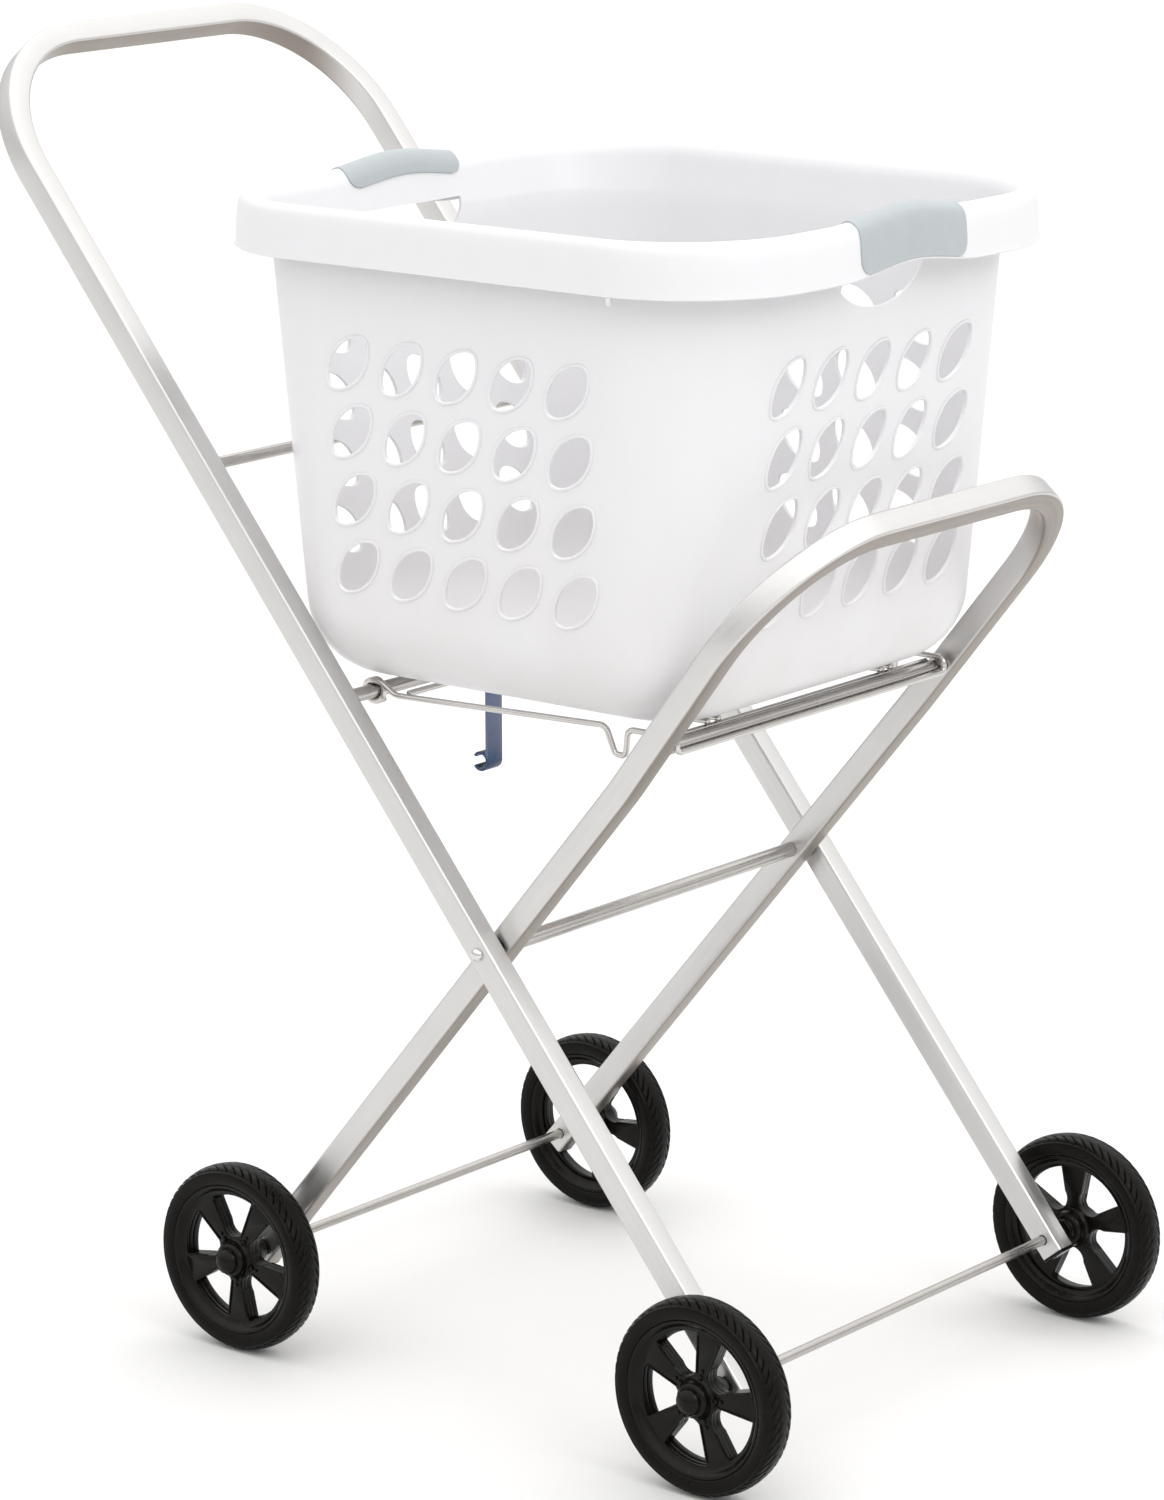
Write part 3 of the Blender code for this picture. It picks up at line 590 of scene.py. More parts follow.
def soft_grip():
    """Grey thermoplastic rubber: matt, with a fine pebbled grain."""
    s = Surface("grey_soft_grip", 0.58, Specular_IOR_Level=0.42)
    s.shader.inputs["Sheen Weight"].default_value = 0.15
    s.shader.inputs["Sheen Roughness"].default_value = 0.5
    pebbles = s.cells(0.0009)
    clouds = s.noise(0.015, 4, 0.6)
    shine = s.levels(s.noise(0.008, 4, 0.7), 0.55, 0.72)
    colour = s.mix(clouds, (0.36, 0.395, 0.41, 1), (0.42, 0.450, 0.465, 1))
    colour = s.mix(s.times(s.edges(), 0.30), colour, (0.48, 0.50, 0.51, 1))
    rough = s.math("SUBTRACT", s.levels(clouds, 0.3, 0.7, 0.56, 0.64), s.times(shine, 0.12))
    return s.finish(colour, rough, s.bump(pebbles, 0.00008, 0.45))


def blue_plastic():
    """Glossy moulded polypropylene, with a painted pale-blue highlight on its sharp edges."""
    s = Surface("blue_polypropylene", 0.30, Specular_IOR_Level=0.3, Subsurface_Weight=0.05)
    s.shader.inputs["Subsurface Scale"].default_value = 0.2
    grain = s.noise(0.0006, 3, 0.6)
    clouds = s.noise(0.010, 4, 0.6)
    colour = s.mix(clouds, (0.018, 0.040, 0.105, 1), (0.028, 0.056, 0.135, 1))
    # Painted highlight: sharp edges are lightened to a pale blue.
    colour = s.mix(s.times(s.edges(0.53, 0.62), 0.40), colour, (0.20, 0.32, 0.52, 1))
    return s.finish(colour, s.levels(clouds, 0.3, 0.7, 0.26, 0.38), s.bump(grain, 0.00004, 0.5))


def black_plastic():
    """Black nylon: faint grain, flow marks near the gates, greyed edges and dust in broad patches."""
    s = Surface("black_nylon", 0.24, Specular_IOR_Level=0.16)
    grain = s.noise(0.0006, 3, 0.6)
    clouds = s.noise(0.014, 5, 0.65)
    dust_and_painted_shade = s.times(s.levels(s.noise(0.005, 5, 0.75), 0.5, 0.75), s.facing(0.1, 0.9))
    colour = s.mix(clouds, (0.0026, 0.0021, 0.0016, 1), (0.0052, 0.0042, 0.0034, 1))
    colour = s.mix(s.times(s.edges(0.52, 0.64), 0.25), colour, (0.030, 0.028, 0.026, 1))
    colour = s.mix(s.times(dust_and_painted_shade, 0.10), colour, (0.16, 0.14, 0.12, 1))
    rough = s.math("ADD", s.levels(clouds, 0.3, 0.7, 0.16, 0.28), s.times(dust_and_painted_shade, 0.2))
    return s.finish(colour, rough, s.bump(grain, 0.00005, 0.5))


def tyre_rubber():
    """Soft black tyre: matt, with mould grain and a scrubbed, slightly grey running surface."""
    s = Surface("tyre_rubber", 0.36, Specular_IOR_Level=0.11)
    grain = s.noise(0.0005, 3, 0.65)
    clouds = s.noise(0.010, 5, 0.65)
    scrubbed = s.levels(s.noise(0.0025, 4, 0.7), 0.45, 0.75)
    colour = s.mix(clouds, (0.0022, 0.0018, 0.0014, 1), (0.0044, 0.0036, 0.0030, 1))
    colour = s.mix(s.times(scrubbed, 0.20), colour, (0.022, 0.020, 0.019, 1))
    colour = s.mix(s.times(s.edges(0.53, 0.66), 0.20), colour, (0.030, 0.028, 0.026, 1))
    rough = s.levels(clouds, 0.3, 0.7, 0.26, 0.40)
    return s.finish(colour, rough, s.bump(grain, 0.00006, 0.5))


def pale_floor():
    s = Surface("pale_floor", 0.75, Specular_IOR_Level=0.2)
    clouds = s.noise(0.35, 3, 0.5)
    grain = s.noise(0.004, 3, 0.6)
    colour = s.mix(clouds, (0.735, 0.732, 0.730, 1), (0.765, 0.762, 0.760, 1))
    return s.finish(colour, s.levels(grain, 0.3, 0.7, 0.70, 0.82), s.bump(grain, 0.0002, 0.2))


# Frames, wheels, rack and clip


def tube_outline(inset=0.0):
    edge = max(TUBE_EDGE - inset, 0.0006)
    return rounded_rectangle(TUBE_W / 2 - inset, TUBE_D / 2 - inset, edge, 5)


def hollow_tube(name, path, normal):
    """A tube open at both ends, with its wall's real thickness."""
    outside = rings_along(path, tube_outline(), normal)
    inside = rings_along(path, tube_outline(TUBE_WALL), normal)
    return skin(name, outside + inside[::-1], loop=True)


def in_plane(corners, up):
    """Corners of (across, along, off) carried to the frame's own plane through the pivot."""
    off = ACROSS.cross(up)
    return [(PIVOT + ACROSS * a + up * b + off * c, radius) for (a, b, c), radius in corners]


def bore_tools(holes):
    """Cutters along Y: each hole is (middle, diameter, half length)."""
    return [bar("bore", at, 2 * reach, d + 2 * HOLE_PLAY, 0.0001, 40) for at, d, reach in holes]


def handle_tube(material):
    half, top, tail = OUTER_W / 2 - TUBE_W / 2, HANDLE_TOP - TUBE_D / 2, (AXLE_F - PIVOT).length + LEG_TAIL
    corners = [((-half, -tail, 0), 0), ((-half, top, 0), HANDLE_BEND)]
    corners += [((half, top, 0), HANDLE_BEND), ((half, -tail, 0), 0)]
    tube = hollow_tube("handle_tube", rounded_path(in_plane(corners, UP_OUT), 40), ACROSS.cross(UP_OUT))
    into = size("rear_rod").y / 2 + HOLE_PLAY
    through = [(PIVOT, SCREW_HOLE_D, OUTER_W), (AXLE_F, AXLE_D, OUTER_W)]
    cut(tube, bore_tools(through + [(ROD_A, RACK_ROD_D, into), (ROD_C, UPPER_ROD_D, into)]))
    return fit(tube, "handle_frame", "frame_tube", material, "handle_frame")


def bow_tube(material):
    half, top, tail = INNER_W / 2 - TUBE_W / 2, BOW_TOP - TUBE_D / 2, (AXLE_R - PIVOT).length + LEG_TAIL
    wide = half + BOW_SPREAD
    corners = [((-half, -tail, 0), 0), ((-half, BOW_START, 0), BOW_EASE)]
    corners += [((-wide, top, -BOW_LEAN), BOW_BEND), ((wide, top, -BOW_LEAN), BOW_BEND)]
    corners += [((half, BOW_START, 0), BOW_EASE), ((half, -tail, 0), 0)]
    tube = hollow_tube("bow_tube", rounded_path(in_plane(corners, UP_IN), 40), ACROSS.cross(UP_IN))
    into = size("front_rod").y / 2 + HOLE_PLAY
    through = [(PIVOT, SCREW_HOLE_D, OUTER_W), (AXLE_R, AXLE_D, OUTER_W)]
    cut(tube, bore_tools(through + [(ROD_B, RACK_ROD_D, into)]))
    return fit(tube, "front_frame", "frame_tube", material, "front_frame")


def cross_rods(material):
    carried = (
        ("handle_frame", ("rear_rod", "upper_rod", "front_axle")),
        ("front_frame", ("front_rod", "rear_axle")),
        ("handle_frame", ("pivot_tube",)),
    )
    for body, nodes in carried:
        for node in nodes:
            full = size(node)
            piece = bar(node + "_bar", middle(node), full.y, full.z)
            fit(piece, body, "rod_steel", material, node)


def pivot_screws(material):
    """Domed screw heads with a slightly raised collar."""
    head_r, head_t, seat, collar, thread = 0.0052, 0.0040, 0.0002, 0.0004, 0.018
    shank = OUTER_W / 2 - INNER_FACE_IN + thread
    for side, y in SIDES:
        face = PIVOT + ACROSS * y * OUTER_W / 2
        profile = [(0, -shank), (0.003, -shank), (0.003, seat), (head_r, seat), (head_r, seat + collar)]
        for step in range(1, 13):
            a = step * pi / 24
            profile.append((head_r * cos(a), seat + collar + head_t * sin(a)))
        screw = turned("screw_" + side, profile, face, y, 48, closed=False)
        fit(screw, "handle_frame", "rod_steel", material, "pivot_screw_" + side)


def pivot_washers(material):
    for side, y in SIDES:
        at = PIVOT + ACROSS * y * INNER_W / 2
        ring = [(0.0034, PLAY), (0.009, PLAY), (0.009, FRAME_GAP - PLAY), (0.0034, FRAME_GAP - PLAY)]
        washer = turned("washer_" + side, rounded_loop(ring, 0.0004, 3), at, y, 48)
        fit(washer, "handle_frame", "black_plastic", material, "pivot_washer_" + side)


def leg_plugs(material):
    """Each plug shows a thin flange and a slightly domed face at the leg's open end."""
    stem, flange = ((-0.0085, -0.0018), (-0.0003, -0.0018)), ((-0.0003, 0.0), (0.0014, 0.0))
    stations = stem + flange + ((0.0020, -0.0006), (0.0023, -0.0016))
    for name, axle, up, wide, body in AXLES:
        for side, y in SIDES:
            end = axle - up * LEG_TAIL + ACROSS * y * (wide / 2 - TUBE_W / 2)
            rings = []
            for down, grow in stations:
                outline = rounded_rectangle(TUBE_W / 2 + grow, TUBE_D / 2 + grow, TUBE_EDGE * 0.8, 4)
                rings.append([end - up * down + ACROSS * a + ACROSS.cross(up) * b for a, b in outline])
            label = name + "_" + side
            fit(skin("plug_" + label, rings), body, "black_plastic", material, "leg_plug_" + label)


def tyre(name, at, outward, turn):
    """A moulded tyre; slanted grooves cut both shoulders, each following a line of the mesh."""
    half, columns = TYRE_HALF, 12
    seat = [(TYRE_SEAT + 0.0001, half - 0.0030), (TYRE_SEAT + 0.0003, half - 0.0018), (0.0612, half - 0.0010)]
    side = [(0.0635, half - 0.0004), (0.0660, half), (0.0685, half - 0.0003), (0.0698, half - 0.0007),
            (0.0702, half - 0.0004), (0.0706, half - 0.0006), (0.0709, half - 0.0014)]
    shoulder = []
    for step in range(1, 11):
        a = step * pi / 2 / 10
        shoulder.append((0.0707 + 0.0036 * sin(a), half - 0.0020 - 0.0066 * (1 - cos(a))))
    tread = [(0.0747, 0.0045), (0.0750, 0.0022), (0.0750, 0.0)]
    outer = seat + side + shoulder + tread
    profile = outer + [(r, -a) for r, a in reversed(outer[:-1])]
    count, steps = len(profile), TREAD_GROOVES * columns
    cutting = (0.45, 1.0, 0.8, 0.15)
    points = []
    for k in range(steps):
        for r, a in profile:
            slant = max(0.0, half - 0.0015 - abs(a)) * 1.5
            share = min(1.0, max(0.0, (r - 0.0711) / 0.0016)) * min(1.0, max(0.0, (abs(a) - 0.0024) / 0.0030))
            phase = k % columns
            groove = cutting[phase] * share if phase < len(cutting) else 0.0
            radius = r - 0.0017 * groove
            angle = 2 * pi * k / steps + turn + slant / WHEEL_R
            points.append(at + Vector((radius * cos(angle), outward * a, radius * sin(angle))))
    return mesh_piece(name, points, quads(steps, count, count, steps), 50)


def window(angle, rim_r):
    """The outline of one opening between two spokes: a wide arc at the rim and a round end at the hub."""
    outline = [polar(rim_r, angle + WINDOW_RIM * (1 - 2 * i / 12)) for i in range(13)]
    centre = WINDOW_HUB + WINDOW_ROUND
    for i in range(17):
        a = -pi / 2 - pi * i / 16
        outline.append(rotated((centre + WINDOW_ROUND * cos(a), WINDOW_ROUND * sin(a)), angle))
    return outline


def wheel_rim(name, at, outward, turn):
    """The moulded wheel: a dished rim, five broad flaring spokes with low ribs, a bossed hub."""
    seat, lip, web = TYRE_SEAT, TYRE_HALF - 0.0016, 0.0068
    front = [(seat, lip - 0.004), (seat, lip - 0.0003), (seat - 0.0003, lip), (seat - 0.0016, lip),
             (seat - 0.0024, lip - 0.0005), (seat - 0.0046, lip - 0.0036), (seat - 0.0056, lip - 0.0046),
             (seat - 0.0078, web)]
    back = [(r, -a) for r, a in reversed(front)]
    rim = turned(name + "_ring", front + back, at, outward, 160, sharp=28)

    hub_r = 0.0143
    shoulder = [(0.0110, HUB_HALF - 0.0002), (0.0124, HUB_HALF - 0.0010), (0.0134, HUB_HALF - 0.0024),
                (0.0140, HUB_HALF - 0.0042), (hub_r, HUB_HALF - 0.0062), (0.0150, 0.0081), (0.0164, 0.0067)]
    bore_r = AXLE_D / 2 + PLAY
    hub = [(bore_r, HUB_HALF - 0.003), (0.0095, HUB_HALF - 0.003), (0.0098, HUB_HALF - 0.0002)] + shoulder
    hub += [(r, -a) for r, a in reversed(shoulder)] + [(bore_r, 0.0002 - HUB_HALF)]
    core = turned(name + "_hub", hub, at, outward, 64)

    pieces = [rim, core]
    middles = [turn + 2 * pi * i / 5 for i in range(5)]
    ring, bore = circle(seat - 0.0060, 96), circle(0.0105, 24)
    layers = ((-0.0050, 0.0004, 0.0496), (0.0002, 0.0040, 0.0504), (0.0038, web, 0.0512))
    for k, (near, far, window_r) in enumerate(layers):
        holes = [window(a, window_r) for a in middles]
        pieces.append(plate("%s_web_%d" % (name, k), [ring, bore, *holes], near, far, at, outward))
    for i, a in enumerate(middles):
        spoke = a + pi / 5
        pieces += [spoke_rib(name, at, outward, spoke, y, web) for y in (1, -1)]
        for k, (r, wide) in enumerate(((0.0176, 0.0040), (0.0222, 0.0032))):
            boss = [(x + r * cos(spoke), z + r * sin(spoke)) for x, z in circle(wide / 2, 20)]
            label = "%s_boss_%d_%d" % (name, i, k)
            pieces.append(plate(label, [boss], web - 0.001, web + 0.0014, at, outward, 0.0005))
    return joined(name, pieces)


def spoke_rib(name, at, outward, spoke, y, web):
    """A low rib along one edge of a spoke, following the window's straight side."""
    thick, high, reach = 0.0013, 0.0009, 0.0485
    far = Vector(polar(reach, y * (pi / 5 - WINDOW_RIM)))
    centre = WINDOW_HUB + WINDOW_ROUND
    near = Vector((centre * cos(pi / 5) + WINDOW_ROUND * sin(pi / 5),
                   y * (centre * sin(pi / 5) - WINDOW_ROUND * cos(pi / 5))))
    along = (far - near).normalized()
    inward = Vector((along.y, -along.x)) * y
    start, inset = near - along * 0.010, inward * 0.0006
    corners = [start + inset, far + inset, far + inset + inward * thick, start + inset + inward * thick]
    outline = rounded_loop([rotated(c, spoke) for c in corners], 0.0003, 2)
    return plate("%s_rib" % name, [outline], web - 0.001, web + high, at, outward)


def cap(name, at, outward):
    """A domed cap over the axle's end."""
    outer, base, rise = 0.0106, 0.0002, 0.0076
    profile = [(0, -0.0022), (0.0092, -0.0022), (0.0094, base)]
    profile += [(outer - 0.0003, base), (outer, base + 0.0004)]
    for step in range(1, 17):
        a = step * pi / 32
        profile.append((outer * cos(a) if step < 16 else 0.0, base + 0.0004 + rise * sin(a) ** 1.15))
    return turned(name, profile, at, outward, 64, closed=False)


def spacer(name, at, outward):
    """Between leg and wheel: a broad boss at the wheel, a slim neck and a rounded flange at the leg."""
    gap, bore = TRACK_OUT - HUB_HALF, AXLE_D / 2 + 0.0002
    profile = [(bore, PLAY), (0.0062, PLAY), (0.0066, 0.0009), (0.0062, 0.0019), (0.0054, 0.0024)]
    profile += [(0.0054, 0.0064), (0.0060, 0.0068), (0.0088, 0.0072), (0.0092, 0.0078)]
    profile += [(0.0094, gap - PLAY), (bore, gap - PLAY)]
    return turned(name, profile, at, outward, 48)


def wheels(black, rubber):
    turns = {"front_right": 0.72, "rear_right": 0.36, "front_left": 0.95, "rear_left": 0.55}
    for name, axle, _, wide, body in AXLES:
        for side, y in SIDES:
            label = name + "_" + side
            track, wheel = wide / 2 + TRACK_OUT, "wheel_" + label
            at, turn = axle + ACROSS * y * track, turns[label]
            fit(wheel_rim("rim_" + label, at, y, turn), wheel, "black_plastic", black, wheel)
            fit(tyre("tread_" + label, at, y, turn), wheel, "tyre", rubber, "tyre_" + label)
            hub = cap("cap_" + label, axle + ACROSS * y * (track + HUB_HALF), y)
            fit(hub, body, "black_plastic", black, "hub_cap_" + label)
            ring = spacer("spacer_" + label, axle + ACROSS * y * wide / 2, y)
            fit(ring, body, "black_plastic", black, "axle_spacer_" + label)


def hook_point():
    """The middle of the wire where the hook meets the front rod."""
    x, z = polar(RACK_ROD_D / 2 + WIRE_D / 2 + PLAY, -HOOK_TURN)
    return Vector((ROD_B.x + x + PLAY, 0, ROD_B.z + z))


def side_wire(sign):
    """One side of the rack wire, from the tail of its coil to the middle of the front rod."""
    y, radius = sign * WIRE_Y, RACK_ROD_D / 2 + WIRE_D / 2 + 0.0004
    path, steps = [], int(COIL_TURNS * 40)
    for i in range(steps + 1):
        left = COIL_TURNS * (1 - i / steps)
        a = pi / 2 + 2 * pi * left
        x, z = polar(radius, a)
        path.append(Vector((ROD_A.x + x, y - sign * COIL_PITCH * left, ROD_A.z + z)))
    top, low = ROD_A.z + radius, ROD_A.z - 0.0003
    dip = ROD_B.x - DIP_BEHIND
    corners = [((ROD_A.x, y, top), 0), ((ROD_A.x + 0.009, y, top), 0.010)]
    corners += [((ROD_A.x + 0.023, y, low), 0.012), ((dip - 0.0125, y, WIRE_Z), 0.0085)]
    corners += [((dip - 0.0035, y, WIRE_Z - DIP_DEEP), 0.0052)]
    corners += [((dip + 0.0065, y, WIRE_Z - DIP_DEEP), 0.0045), ((dip + 0.0085, y, WIRE_Z), 0.0060)]
    hook = hook_point()
    corners += [((ROD_B.x + 0.0078, y, WIRE_Z), 0.0060), ((hook.x + 0.0002, y, hook.z), 0.0046)]
    corners += [((hook.x, 0, hook.z), 0)]
    return path[:-1] + rounded_path(corners, 12)[:-1]


def wire_piece(name, path, material, node):
    """A round wire with its two ends eased."""
    rings = rings_along(path, circle(WIRE_D / 2, 20))
    for end, step in ((0, 1), (-1, -1)):
        out = (path[end] - path[end + step]).normalized()
        centre = path[end]
        for share, away in ((0.8, 0.0003), (0.45, 0.0006)):
            ring = [centre + (p - centre) * share + out * away for p in rings[end]]
            rings.insert(0 if end == 0 else len(rings), ring)
    return fit(skin(name, rings), "rack", "bright_wire", material, node)


def rack(material):
    right, left = side_wire(-1), side_wire(1)
    wire_piece("rack_loop", right + left[::-1], material, "rack_wire")
    reach = WIRE_Y - WIRE_D / 2 - PLAY
    front, rear = middle("rack_cross_wire_front"), middle("rack_cross_wire_rear")
    for name, at in (("front", front), ("rear", rear)):
        piece = bar("rack_cross_" + name, at, 2 * reach, WIRE_D, 0.0005, 32)
        fit(piece, "rack", "bright_wire", material, "rack_cross_wire_" + name)
    back, ahead = rear.x - 0.010, ROD_B.x - 0.004
    for side, sign in SIDES:
        near, far = sign * HAIRPIN_Y - HAIRPIN_HALF, sign * HAIRPIN_Y + HAIRPIN_HALF
        bend = HAIRPIN_HALF * 0.98
        corners = [((ahead, near, HAIRPIN_Z), 0), ((back - bend, near, HAIRPIN_Z), bend)]
        corners += [((back - bend, far, HAIRPIN_Z), bend), ((ahead, far, HAIRPIN_Z), 0)]
        wire_piece("rack_long_" + side, rounded_path(corners, 16), material, "rack_hairpin_" + side)


def clip(material):
    """An eye round the rear rod, a strap down its front side and an open ring below."""
    bore, ring_r = RACK_ROD_D / 2 + PLAY, RACK_ROD_D / 2 + PLAY + CLIP_WALL
    at = Vector((ROD_A.x, CLIP_Y, ROD_A.z))
    low = at - Vector((0, 0, CLIP_LONG))
    half = CLIP_W / 2
    eye = plate("clip_eye", [circle(ring_r, 64), circle(bore, 64)], -half, half, at, -1)
    x0, x1 = ring_r - CLIP_STRAP, ring_r
    strap_outline = rounded_loop([(x0, 0), (x1, 0), (x1, -CLIP_LONG), (x0, -CLIP_LONG)], 0.0005, 3)
    strap = plate("clip_strap", [strap_outline], -half, half, at, -1)
    start, end = pi - CLIP_MOUTH / 2, -pi + CLIP_MOUTH / 2
    outer = [polar(ring_r, start + (end - start) * i / 56) for i in range(57)]
    inner = [polar(bore, end + (start - end) * i / 56) for i in range(57)]
    hook = plate("clip_hook", [outer + inner], -half, half, low, -1)
    fit(joined("folding_strap", [eye, strap, hook]), "clip", "blue_plastic", material, "folding_clip")


# Basket and grips


def arch(y):
    """How far the rim rises over a hand hole."""
    share = max(0.0, 1 - abs(y) / ARCH_HALF)
    return ARCH * (3 * share**2 - 2 * share**3)


def wall_half(height):
    """(half length, half width, corner radius) of the wall's middle at a height above the bottom."""
    drop = BASKET_TALL - RIM_TALL - height
    inset = BASKET_WALL / 2 + TAPER * drop
    return TOP_LONG - inset, TOP_WIDE - BASKET_WALL / 2 - TAPER * 0.9 * drop, CORNER - TAPER * 0.2 * drop


def rim_half(out):
    long, wide, corner = wall_half(BASKET_TALL - RIM_TALL)
    return long + RIM_OUT_X * out, wide + RIM_OUT_Y * out, corner + RIM_CORNER * out


def rim_curve(share):
    """(out, up) on the rim's smooth section; share runs from 0 at the wall to 1 at the skirt's foot."""
    spans = len(RIM) - 1
    k = min(int(share * spans), spans - 1)
    t = share * spans - k
    knots = [RIM[max(0, min(spans, k + d))] for d in (-1, 0, 1, 2)]
    found = []
    for a, b, c, d in zip(*knots):
        found.append(b + 0.5 * t * (c - a + t * (2 * a - 5 * b + 4 * c - d + t * (3 * (b - c) + d - a))))
    return found


def ring_points(long, wide, corner, height, lift=0.0):
    """A rounded rectangle of points; lift is the share of the hand-hole arch that it takes."""
    ring, turns, end_cuts, side_cuts = [], 20, 48, 10
    corners = ((1, -1), (1, 1), (-1, 1), (-1, -1))
    for k, (sx, sy) in enumerate(corners):
        cx, cy = sx * (long - corner), sy * (wide - corner)
        for i in range(turns + 1):
            a = (k - 1 + i / turns) * pi / 2
            ring.append(Vector((cx + corner * cos(a), cy + corner * sin(a), 0)))
        nx, ny = corners[(k + 1) % 4]
        a = k * pi / 2
        goal = Vector((nx * (long - corner) + corner * cos(a), ny * (wide - corner) + corner * sin(a), 0))
        cuts = end_cuts if k % 2 == 0 else side_cuts
        start = ring[-1]
        ring += [start.lerp(goal, i / cuts) for i in range(1, cuts)]
    for point in ring:
        on_end = abs(point.x) > long - 0.004
        point.z = height + (lift * arch(point.y) if on_end else 0)
    return ring


def basket_rings():
    """From the foot of the bottom's round to the skirt's foot."""
    rings = []
    base = wall_half(BOTTOM_ROUND)
    inner = BOTTOM_ROUND + 0.05
    rings.append(ring_points(base[0] - inner, base[1] - inner, 0.012, BASKET_WALL / 2))
    for i in range(15):
        a = radians(90 - 6 * i)
        inset = BOTTOM_ROUND * (1 - cos(a))
        height = BOTTOM_ROUND * (1 - sin(a)) + BASKET_WALL / 2
        rings.append(ring_points(base[0] - inset, base[1] - inset, base[2] - inset, height))
    for share in (0.0, 0.12, 0.4, 0.75, 1.0):
        height = BOTTOM_ROUND + 0.006 + share * (BASKET_TALL - RIM_TALL - 0.012 - BOTTOM_ROUND - 0.006)
        rings.append(ring_points(*wall_half(height), height))
    for i in range(37):
        out, up = rim_curve(i / 36)
        height = BASKET_TALL - RIM_TALL + up * RIM_TALL
        rings.append(ring_points(*rim_half(out), height, lift=0.6 + 0.4 * min(1.0, i / 6)))
    return rings


def hole_outline(u, v, grow=0.0):
    """One slanted hole, rounded but drawn out at its upper right and lower left."""
    points, sides = [], 48
    for i in range(sides):
        a = 2 * pi * (i + 0.5) / sides
        pinch = 1 - HOLE_POINT + HOLE_POINT * abs(cos(a))
        x = (HOLE_WIDE * pinch + grow) * cos(a)
        y = (HOLE_LONG + grow) * sin(a)
        x, y = rotated((x, y), -HOLE_TILT)
        points.append((u + x, v + y))
    return points


def wall_point(side, u, v):
    """(point, outward normal) on the wall's outer face: u across the side, v up."""
    long, wide, corner = wall_half(v)
    reach, half = (wide, long) if side % 2 == 0 else (long, wide)
    flat = half - corner
    over = max(0.0, abs(u) - flat)
    depth = reach - corner + sqrt(max(0.0, corner**2 - over**2))
    normal = Vector((over * (1 if u > 0 else -1), -(depth - reach + corner), 0)).normalized()
    point = Vector((u, -depth, v)) + normal * (BASKET_WALL / 2)
    turn = Matrix.Rotation(side * pi / 2, 3, "Z")
    return turn @ point, turn @ normal


def hole_centres():
    for row in range(4):
        for column in range(-2, 3):
            yield column * HOLE_PITCH, BASKET_TALL - HOLE_TOP - row * HOLE_RISE


def prism(name, side, outline, reach=0.02):
    """A cutter through one wall."""
    straight = Matrix.Rotation(side * pi / 2, 3, "Z") @ Vector((0, -1, 0))
    points = [wall_point(side, u, v)[0] for u, v in outline]
    return skin(name, [[point + straight * away for point in points] for away in (-reach, reach)])


def lip_ring(name, side, outline, centre):
    """A raised bead round one hole, lying on the wall."""
    rings = []
    for u, v in outline:
        point, normal = wall_point(side, u, v)
        away = wall_point(side, u + (u - centre[0]) * 0.05, v + (v - centre[1]) * 0.05)[0]
        outward = (away - point).normalized()
        rings.append([point + outward * x + normal * y for x, y in circle(LIP, 8)])
    return skin(name, rings, loop=True)


def rim_tab():
    """A small moulded stop under the rim's skirt, at the front end of the right side."""
    long, wide, corner = rim_half(0.9)
    foot = BASKET_TALL - RIM_TALL
    corners = [(-0.0016, -0.0062), (0.0016, -0.0062), (0.0024, 0.004), (-0.0024, 0.004)]
    at = Vector((long - corner + 0.012, -wide, foot))
    return plate("rim_tab", [rounded_loop(corners, 0.0006, 3)], -0.0012, 0.0012, at, -1)


def basket(material, bead_painted_highlight_material):
    rings = basket_rings()
    count = len(rings[0])
    points = [p for ring in rings for p in ring]
    faces = quads(len(rings), count, count, len(rings) - 1)
    faces.append(tuple(reversed(range(count))))
    body = mesh_piece("basket_shell", points, faces, 50)
    thicken(body, BASKET_WALL, 0.0007, 2, 60)
    cutters, lips = [], []
    for side in range(4):
        for u, v in hole_centres():
            cutters.append(prism("hole", side, hole_outline(u, v)))
            lip = lip_ring("lip", side, hole_outline(u, v, grow=LIP * 0.5), (u, v))
            # Painted highlight: the beads take the second, lighter copy of the white.
            lip.data.polygons.foreach_set("material_index", [1] * len(lip.data.polygons))
            lips.append(lip)
    top = BASKET_TALL - HAND_TOP
    for side in (1, 3):
        outline = []
        for i in range(41):
            a = pi + i * pi / 40
            outline.append((HAND_HALF * cos(a), min(top + HAND_DEEP * sin(a), top - 0.0002)))
        cutters.append(prism("hand", side, outline, 0.012))
    cut(body, cutters)
    shell = joined("basket_shell", [body, *lips, rim_tab()])
    shell.data.transform(Matrix.Translation((BASKET_X, 0, BASKET_Z)))
    fit(shell, "basket", "white_plastic", material, "basket")
    # Painted highlight: the lighter white used by the beads.
    shell.data.materials.append(bead_painted_highlight_material)


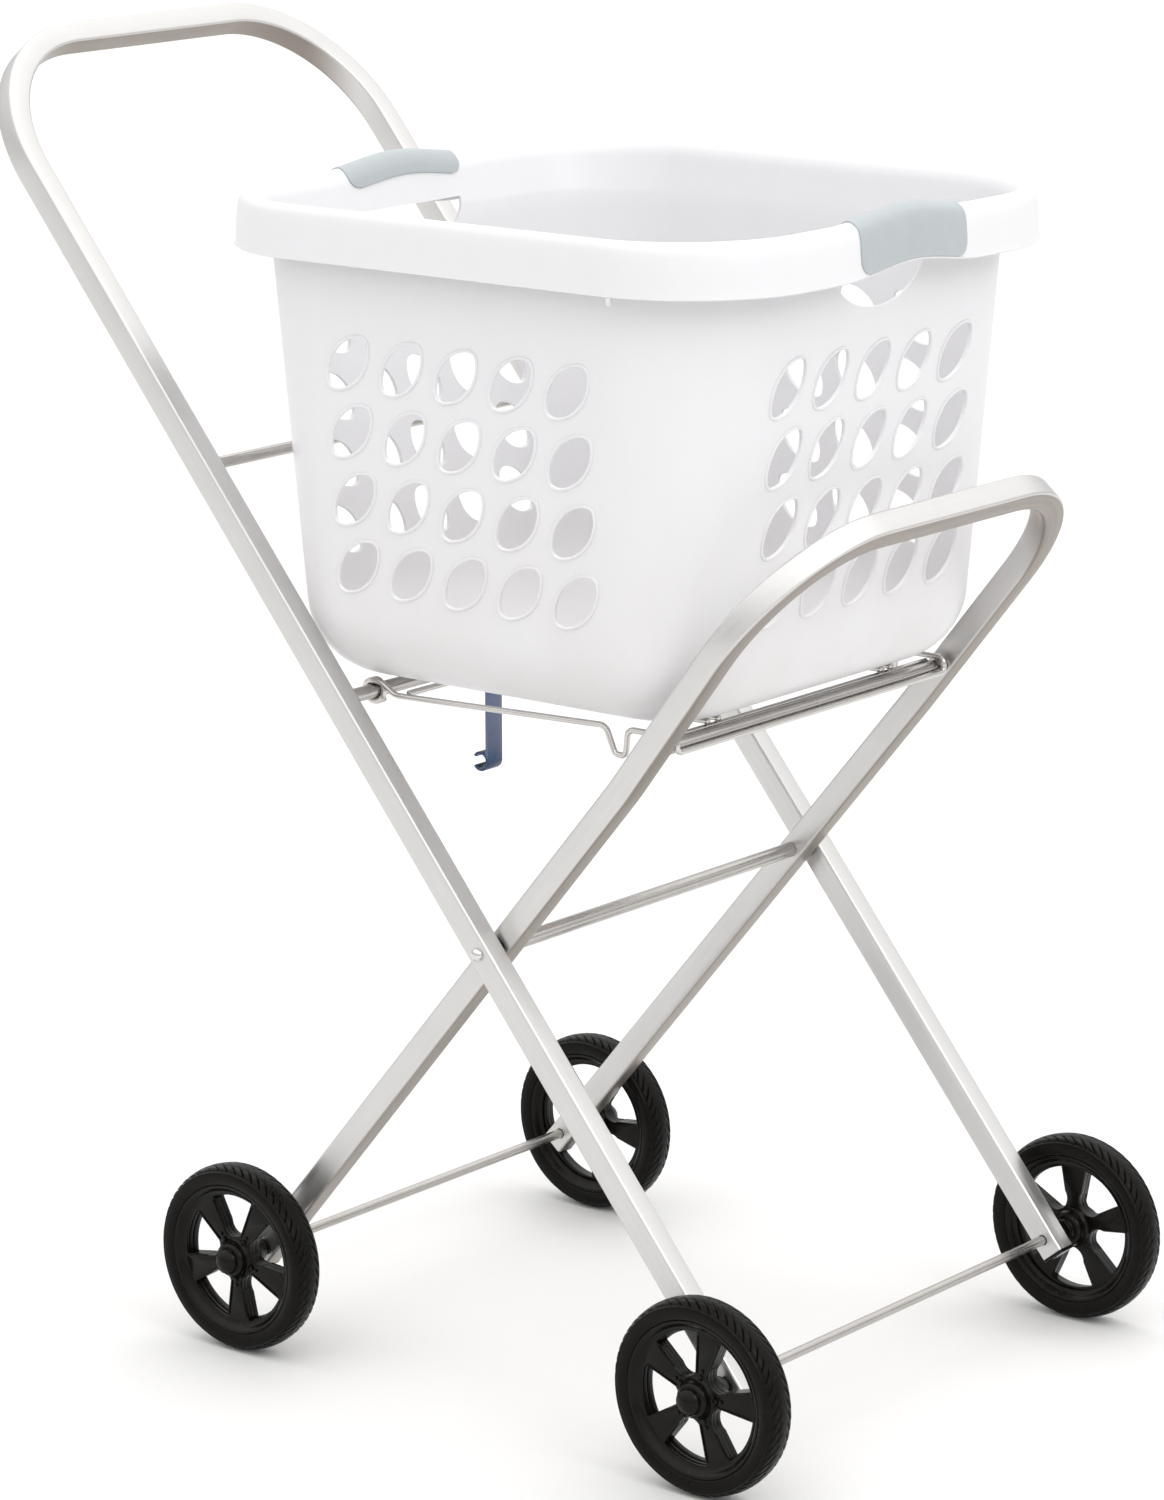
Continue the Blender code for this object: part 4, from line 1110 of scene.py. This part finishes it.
def grips(material):
    """A soft moulding over the rim above each hand hole, with rounded corners and a thin edge."""
    away, rows, columns = BASKET_WALL / 2 - 0.0006 + GRIP_THICK / 2, 30, 60
    first, last, turn_r = 0.17, 0.915, 0.012
    section = []
    for i in range(rows + 1):
        share = first + (last - first) * i / rows
        out, up = rim_curve(share)
        out2, up2 = rim_curve(min(1.0, share + 0.01))
        here = Vector((rim_half(out)[0], BASKET_TALL - RIM_TALL + up * RIM_TALL))
        ahead = Vector((rim_half(out2)[0], BASKET_TALL - RIM_TALL + up2 * RIM_TALL)) - here
        section.append(here + Vector((-ahead.y, ahead.x)).normalized() * away)
    length = [0.0]
    for a, b in zip(section, section[1:]):
        length.append(length[-1] + (b - a).length)
    for name, sign in (("front", 1), ("rear", -1)):
        points = []
        for (x, z), s in zip(section, length):
            edge = min(s, length[-1] - s)
            short = turn_r - sqrt(max(0.0, turn_r**2 - (turn_r - min(edge, turn_r)) ** 2))
            for k in range(columns + 1):
                y = (GRIP_HALF - short) * (2 * k / columns - 1)
                points.append((BASKET_X + sign * x, y, BASKET_Z + z + arch(y)))
        faces = []
        for k in range(rows):
            for i in range(columns):
                a, b = k * (columns + 1) + i, (k + 1) * (columns + 1) + i
                faces.append((a, b, b + 1, a + 1))
        grip = mesh_piece("soft_grip_" + name, points, faces, 50)
        thicken(grip, GRIP_THICK, 0.0006, 3, 50)
        apply_modifiers(grip, 50)
        fit(grip, "basket", "soft_grip", material, "grip_" + name)


# Floor, lights and camera


def floor(material):
    half = 40.0
    corners = [(-half, -half, 0), (half, -half, 0), (half, half, 0), (-half, half, 0)]
    slab = mesh_piece("floor", corners, [(0, 1, 2, 3)])
    slab.data.transform(Matrix.Translation((0, 0, -0.0004)))
    slab.data.materials.append(material)


def light(name, at, aim, width, power):
    lamp = bpy.data.lights.new(name, "AREA")
    lamp.shape, lamp.size, lamp.energy = "DISK", width, power
    obj = placed(name, lamp)
    obj.location = at
    obj.rotation_euler = (Vector(at) - Vector(aim)).to_track_quat("Z", "Y").to_euler()


def studio():
    """Even light from all round, brightest overhead, and two weak lamps."""
    world = bpy.data.worlds.new("studio")
    bpy.context.scene.world = world
    world.use_nodes = True
    background = world.node_tree.nodes["Background"]
    nodes, links = world.node_tree.nodes, world.node_tree.links
    split, ramp = nodes.new("ShaderNodeSeparateXYZ"), nodes.new("ShaderNodeMapRange")
    links.new(nodes.new("ShaderNodeTexCoord").outputs["Generated"], split.inputs[0])
    links.new(split.outputs["Z"], ramp.inputs["Value"])
    for socket, number in zip(ramp.inputs[1:5], (0.0, 0.8, 0.52, 1.76)):
        socket.default_value = number
    background.inputs["Color"].default_value = (1.0, 0.997, 0.99, 1)
    links.new(ramp.outputs["Result"], background.inputs["Strength"])
    aim = (0, 0, 0.5)
    light("key", (3.0, -0.6, 2.6), aim, 1.6, 18)
    light("top", (0.2, 0.5, 3.6), aim, 1.6, 8)
    bpy.context.scene.view_settings.view_transform = "Standard"
    bpy.context.scene.view_settings.exposure = 0.0


def camera():
    """A long lens at the front right of the cart, a little above it."""
    azimuth, elevation, roll = radians(38.81), radians(13.72), radians(-0.2)
    back = Vector((sin(azimuth) * cos(elevation), -cos(azimuth) * cos(elevation), sin(elevation)))
    right = Vector((cos(azimuth), sin(azimuth), 0))
    up = back.cross(right)
    right_rolled = right * cos(roll) + up * sin(roll)
    up_rolled = up * cos(roll) - right * sin(roll)
    data = bpy.data.cameras.new("camera")
    data.sensor_fit, data.sensor_height, data.lens = "VERTICAL", 36.0, 128.04
    data.clip_start, data.clip_end = 0.1, 50
    obj = placed("camera", data)
    turn = Matrix((right_rolled, up_rolled, back)).transposed().to_4x4()
    obj.matrix_world = Matrix.Translation(Vector((2.57587, -3.15369, 1.45426))) @ turn
    bpy.context.scene.camera = obj


def build():
    tube, steel, black = aluminium(), satin_steel(), black_plastic()
    handle_tube(tube)
    bow_tube(tube)
    cross_rods(steel)
    pivot_screws(bright_steel())
    pivot_washers(black)
    leg_plugs(black)
    wheels(black, tyre_rubber())
    rack(bright_wire())
    clip(blue_plastic())
    wall = white_plastic("white_polypropylene", (0.735, 0.732, 0.750, 1), (0.695, 0.691, 0.703, 1))
    # Painted highlight: a lighter copy of the wall's white, for the beads round the holes.
    bead_painted_highlight = white_plastic("white_polypropylene_painted_highlight", (0.93, 0.93, 0.94, 1), (0.90, 0.90, 0.91, 1))
    basket(wall, bead_painted_highlight)
    grips(soft_grip())
    floor(pale_floor())
    studio()
    camera()


build()
